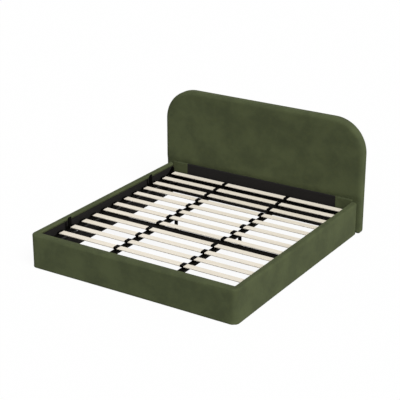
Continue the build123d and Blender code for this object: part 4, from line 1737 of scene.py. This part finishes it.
@dataclass
class Studio:
    """A pale floor, soft plain light and the camera.

    Places and lengths are in metres and angles in degrees, but the lens and the sensor are in millimetres.
    """

    camera_place: Spot = (5.1281, -8.0809, 4.2660)
    azimuth: float = 32.4626
    downward: float = 21.7237
    lens: float = 108.05
    sensor: float = 36.0
    furthest_seen: float = 200.0
    floor_half: float = 40.0
    floor_grey: float = 0.35
    floor_white_share: float = 0.93
    sky_strength: float = 0.2
    key_strength: float = 3.08
    key_spread: float = 35.0
    key_from: Spot = (0.543, -0.329, 0.771)

    def add_floor(self) -> None:
        """Lay a floor that the camera sees as white, with the bed's faint shadow on it."""
        reach = self.floor_half
        corners = [(-reach, -reach, 0.0), (reach, -reach, 0.0), (reach, reach, 0.0), (-reach, reach, 0.0)]
        floor = mesh_piece("studio_floor", corners, [(0, 1, 2, 3)], smooth=False)
        made = bpy.data.materials.new("white_studio_floor")
        made.use_nodes = True
        tree = made.node_tree
        tree.nodes.clear()
        grey = add_node(tree, "BsdfDiffuse", {"Color": (self.floor_grey,) * 3 + (1.0,)})
        white = add_node(tree, "BsdfDiffuse", {"Color": linear(WHITE)})
        glow = add_node(tree, "Emission", {"Color": linear(WHITE), "Strength": 1.0})
        shown = add_node(
            tree,
            "MixShader",
            {0: self.floor_white_share},
            {1: white.outputs[0], 2: glow.outputs[0]},
        )
        mixed = add_node(
            tree, "MixShader", links={0: seen_directly(tree), 1: grey.outputs[0], 2: shown.outputs[0]}
        )
        add_node(tree, "OutputMaterial", links={"Surface": mixed.outputs[0]})
        floor.data.materials.append(made)

    def add_light(self) -> None:
        """Set an even sky and one large soft key light from the right."""
        world = bpy.data.worlds.new("studio_sky")
        bpy.context.scene.world = world
        world.use_nodes = True
        tree = world.node_tree
        tree.nodes.clear()
        sky = add_node(tree, "Background", {"Color": linear(WHITE), "Strength": self.sky_strength})
        white = add_node(tree, "Background", {"Color": linear(WHITE), "Strength": 1.0})
        mixed = add_node(
            tree, "MixShader", links={0: seen_directly(tree), 1: sky.outputs[0], 2: white.outputs[0]}
        )
        add_node(tree, "OutputWorld", links={"Surface": mixed.outputs[0]})
        lamp = bpy.data.lights.new("soft_key", "SUN")
        lamp.energy = self.key_strength
        lamp.angle = math.radians(self.key_spread)
        key = bpy.data.objects.new("soft_key", lamp)
        key.rotation_mode = "QUATERNION"
        key.rotation_quaternion = Vector(self.key_from).to_track_quat("Z", "Y")
        bpy.context.scene.collection.objects.link(key)

    def add_camera(self) -> None:
        """Set the camera at the photograph's place and angle."""
        optics = bpy.data.cameras.new("studio_camera")
        optics.lens = self.lens
        optics.sensor_width = self.sensor
        optics.clip_end = self.furthest_seen
        camera = bpy.data.objects.new("studio_camera", optics)
        camera.location = self.camera_place
        camera.rotation_euler = (math.radians(90 - self.downward), 0.0, math.radians(self.azimuth))
        bpy.context.scene.collection.objects.link(camera)
        bpy.context.scene.camera = camera
        bpy.context.scene.view_settings.view_transform = "Standard"

    def build(self) -> None:
        """Set up the floor, the light and the camera."""
        self.add_floor()
        self.add_light()
        self.add_camera()


def main() -> None:
    """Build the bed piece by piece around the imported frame."""
    logging.basicConfig(level=logging.INFO, format="%(name)s: %(message)s")
    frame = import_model()
    bed = Bed.measured()
    Studio().build()
    Hardware().dress(frame["nodes"])
    velvet = ShortPileVelvet()
    headboard = Headboard(bed, velvet, SpunCloth(), ZincPlatedSteel())
    made = [
        BaseCover(bed, velvet).build(),
        headboard.build_cover(),
        headboard.build_back(),
        headboard.build_staples(),
        # The corner pads wear the darker velvet, a painted shade
        *HeadEnd(bed, PaintedShadeVelvet(), SpunCloth()).build(),
        *PanelLinings(bed, SpunCloth()).build(),
        PullStrap(WovenWebbing()).build(),
    ]
    for piece in made:
        LOG.info("made %s with %d points", piece.name, len(piece.data.vertices))


if __name__ == "__main__":
    main()
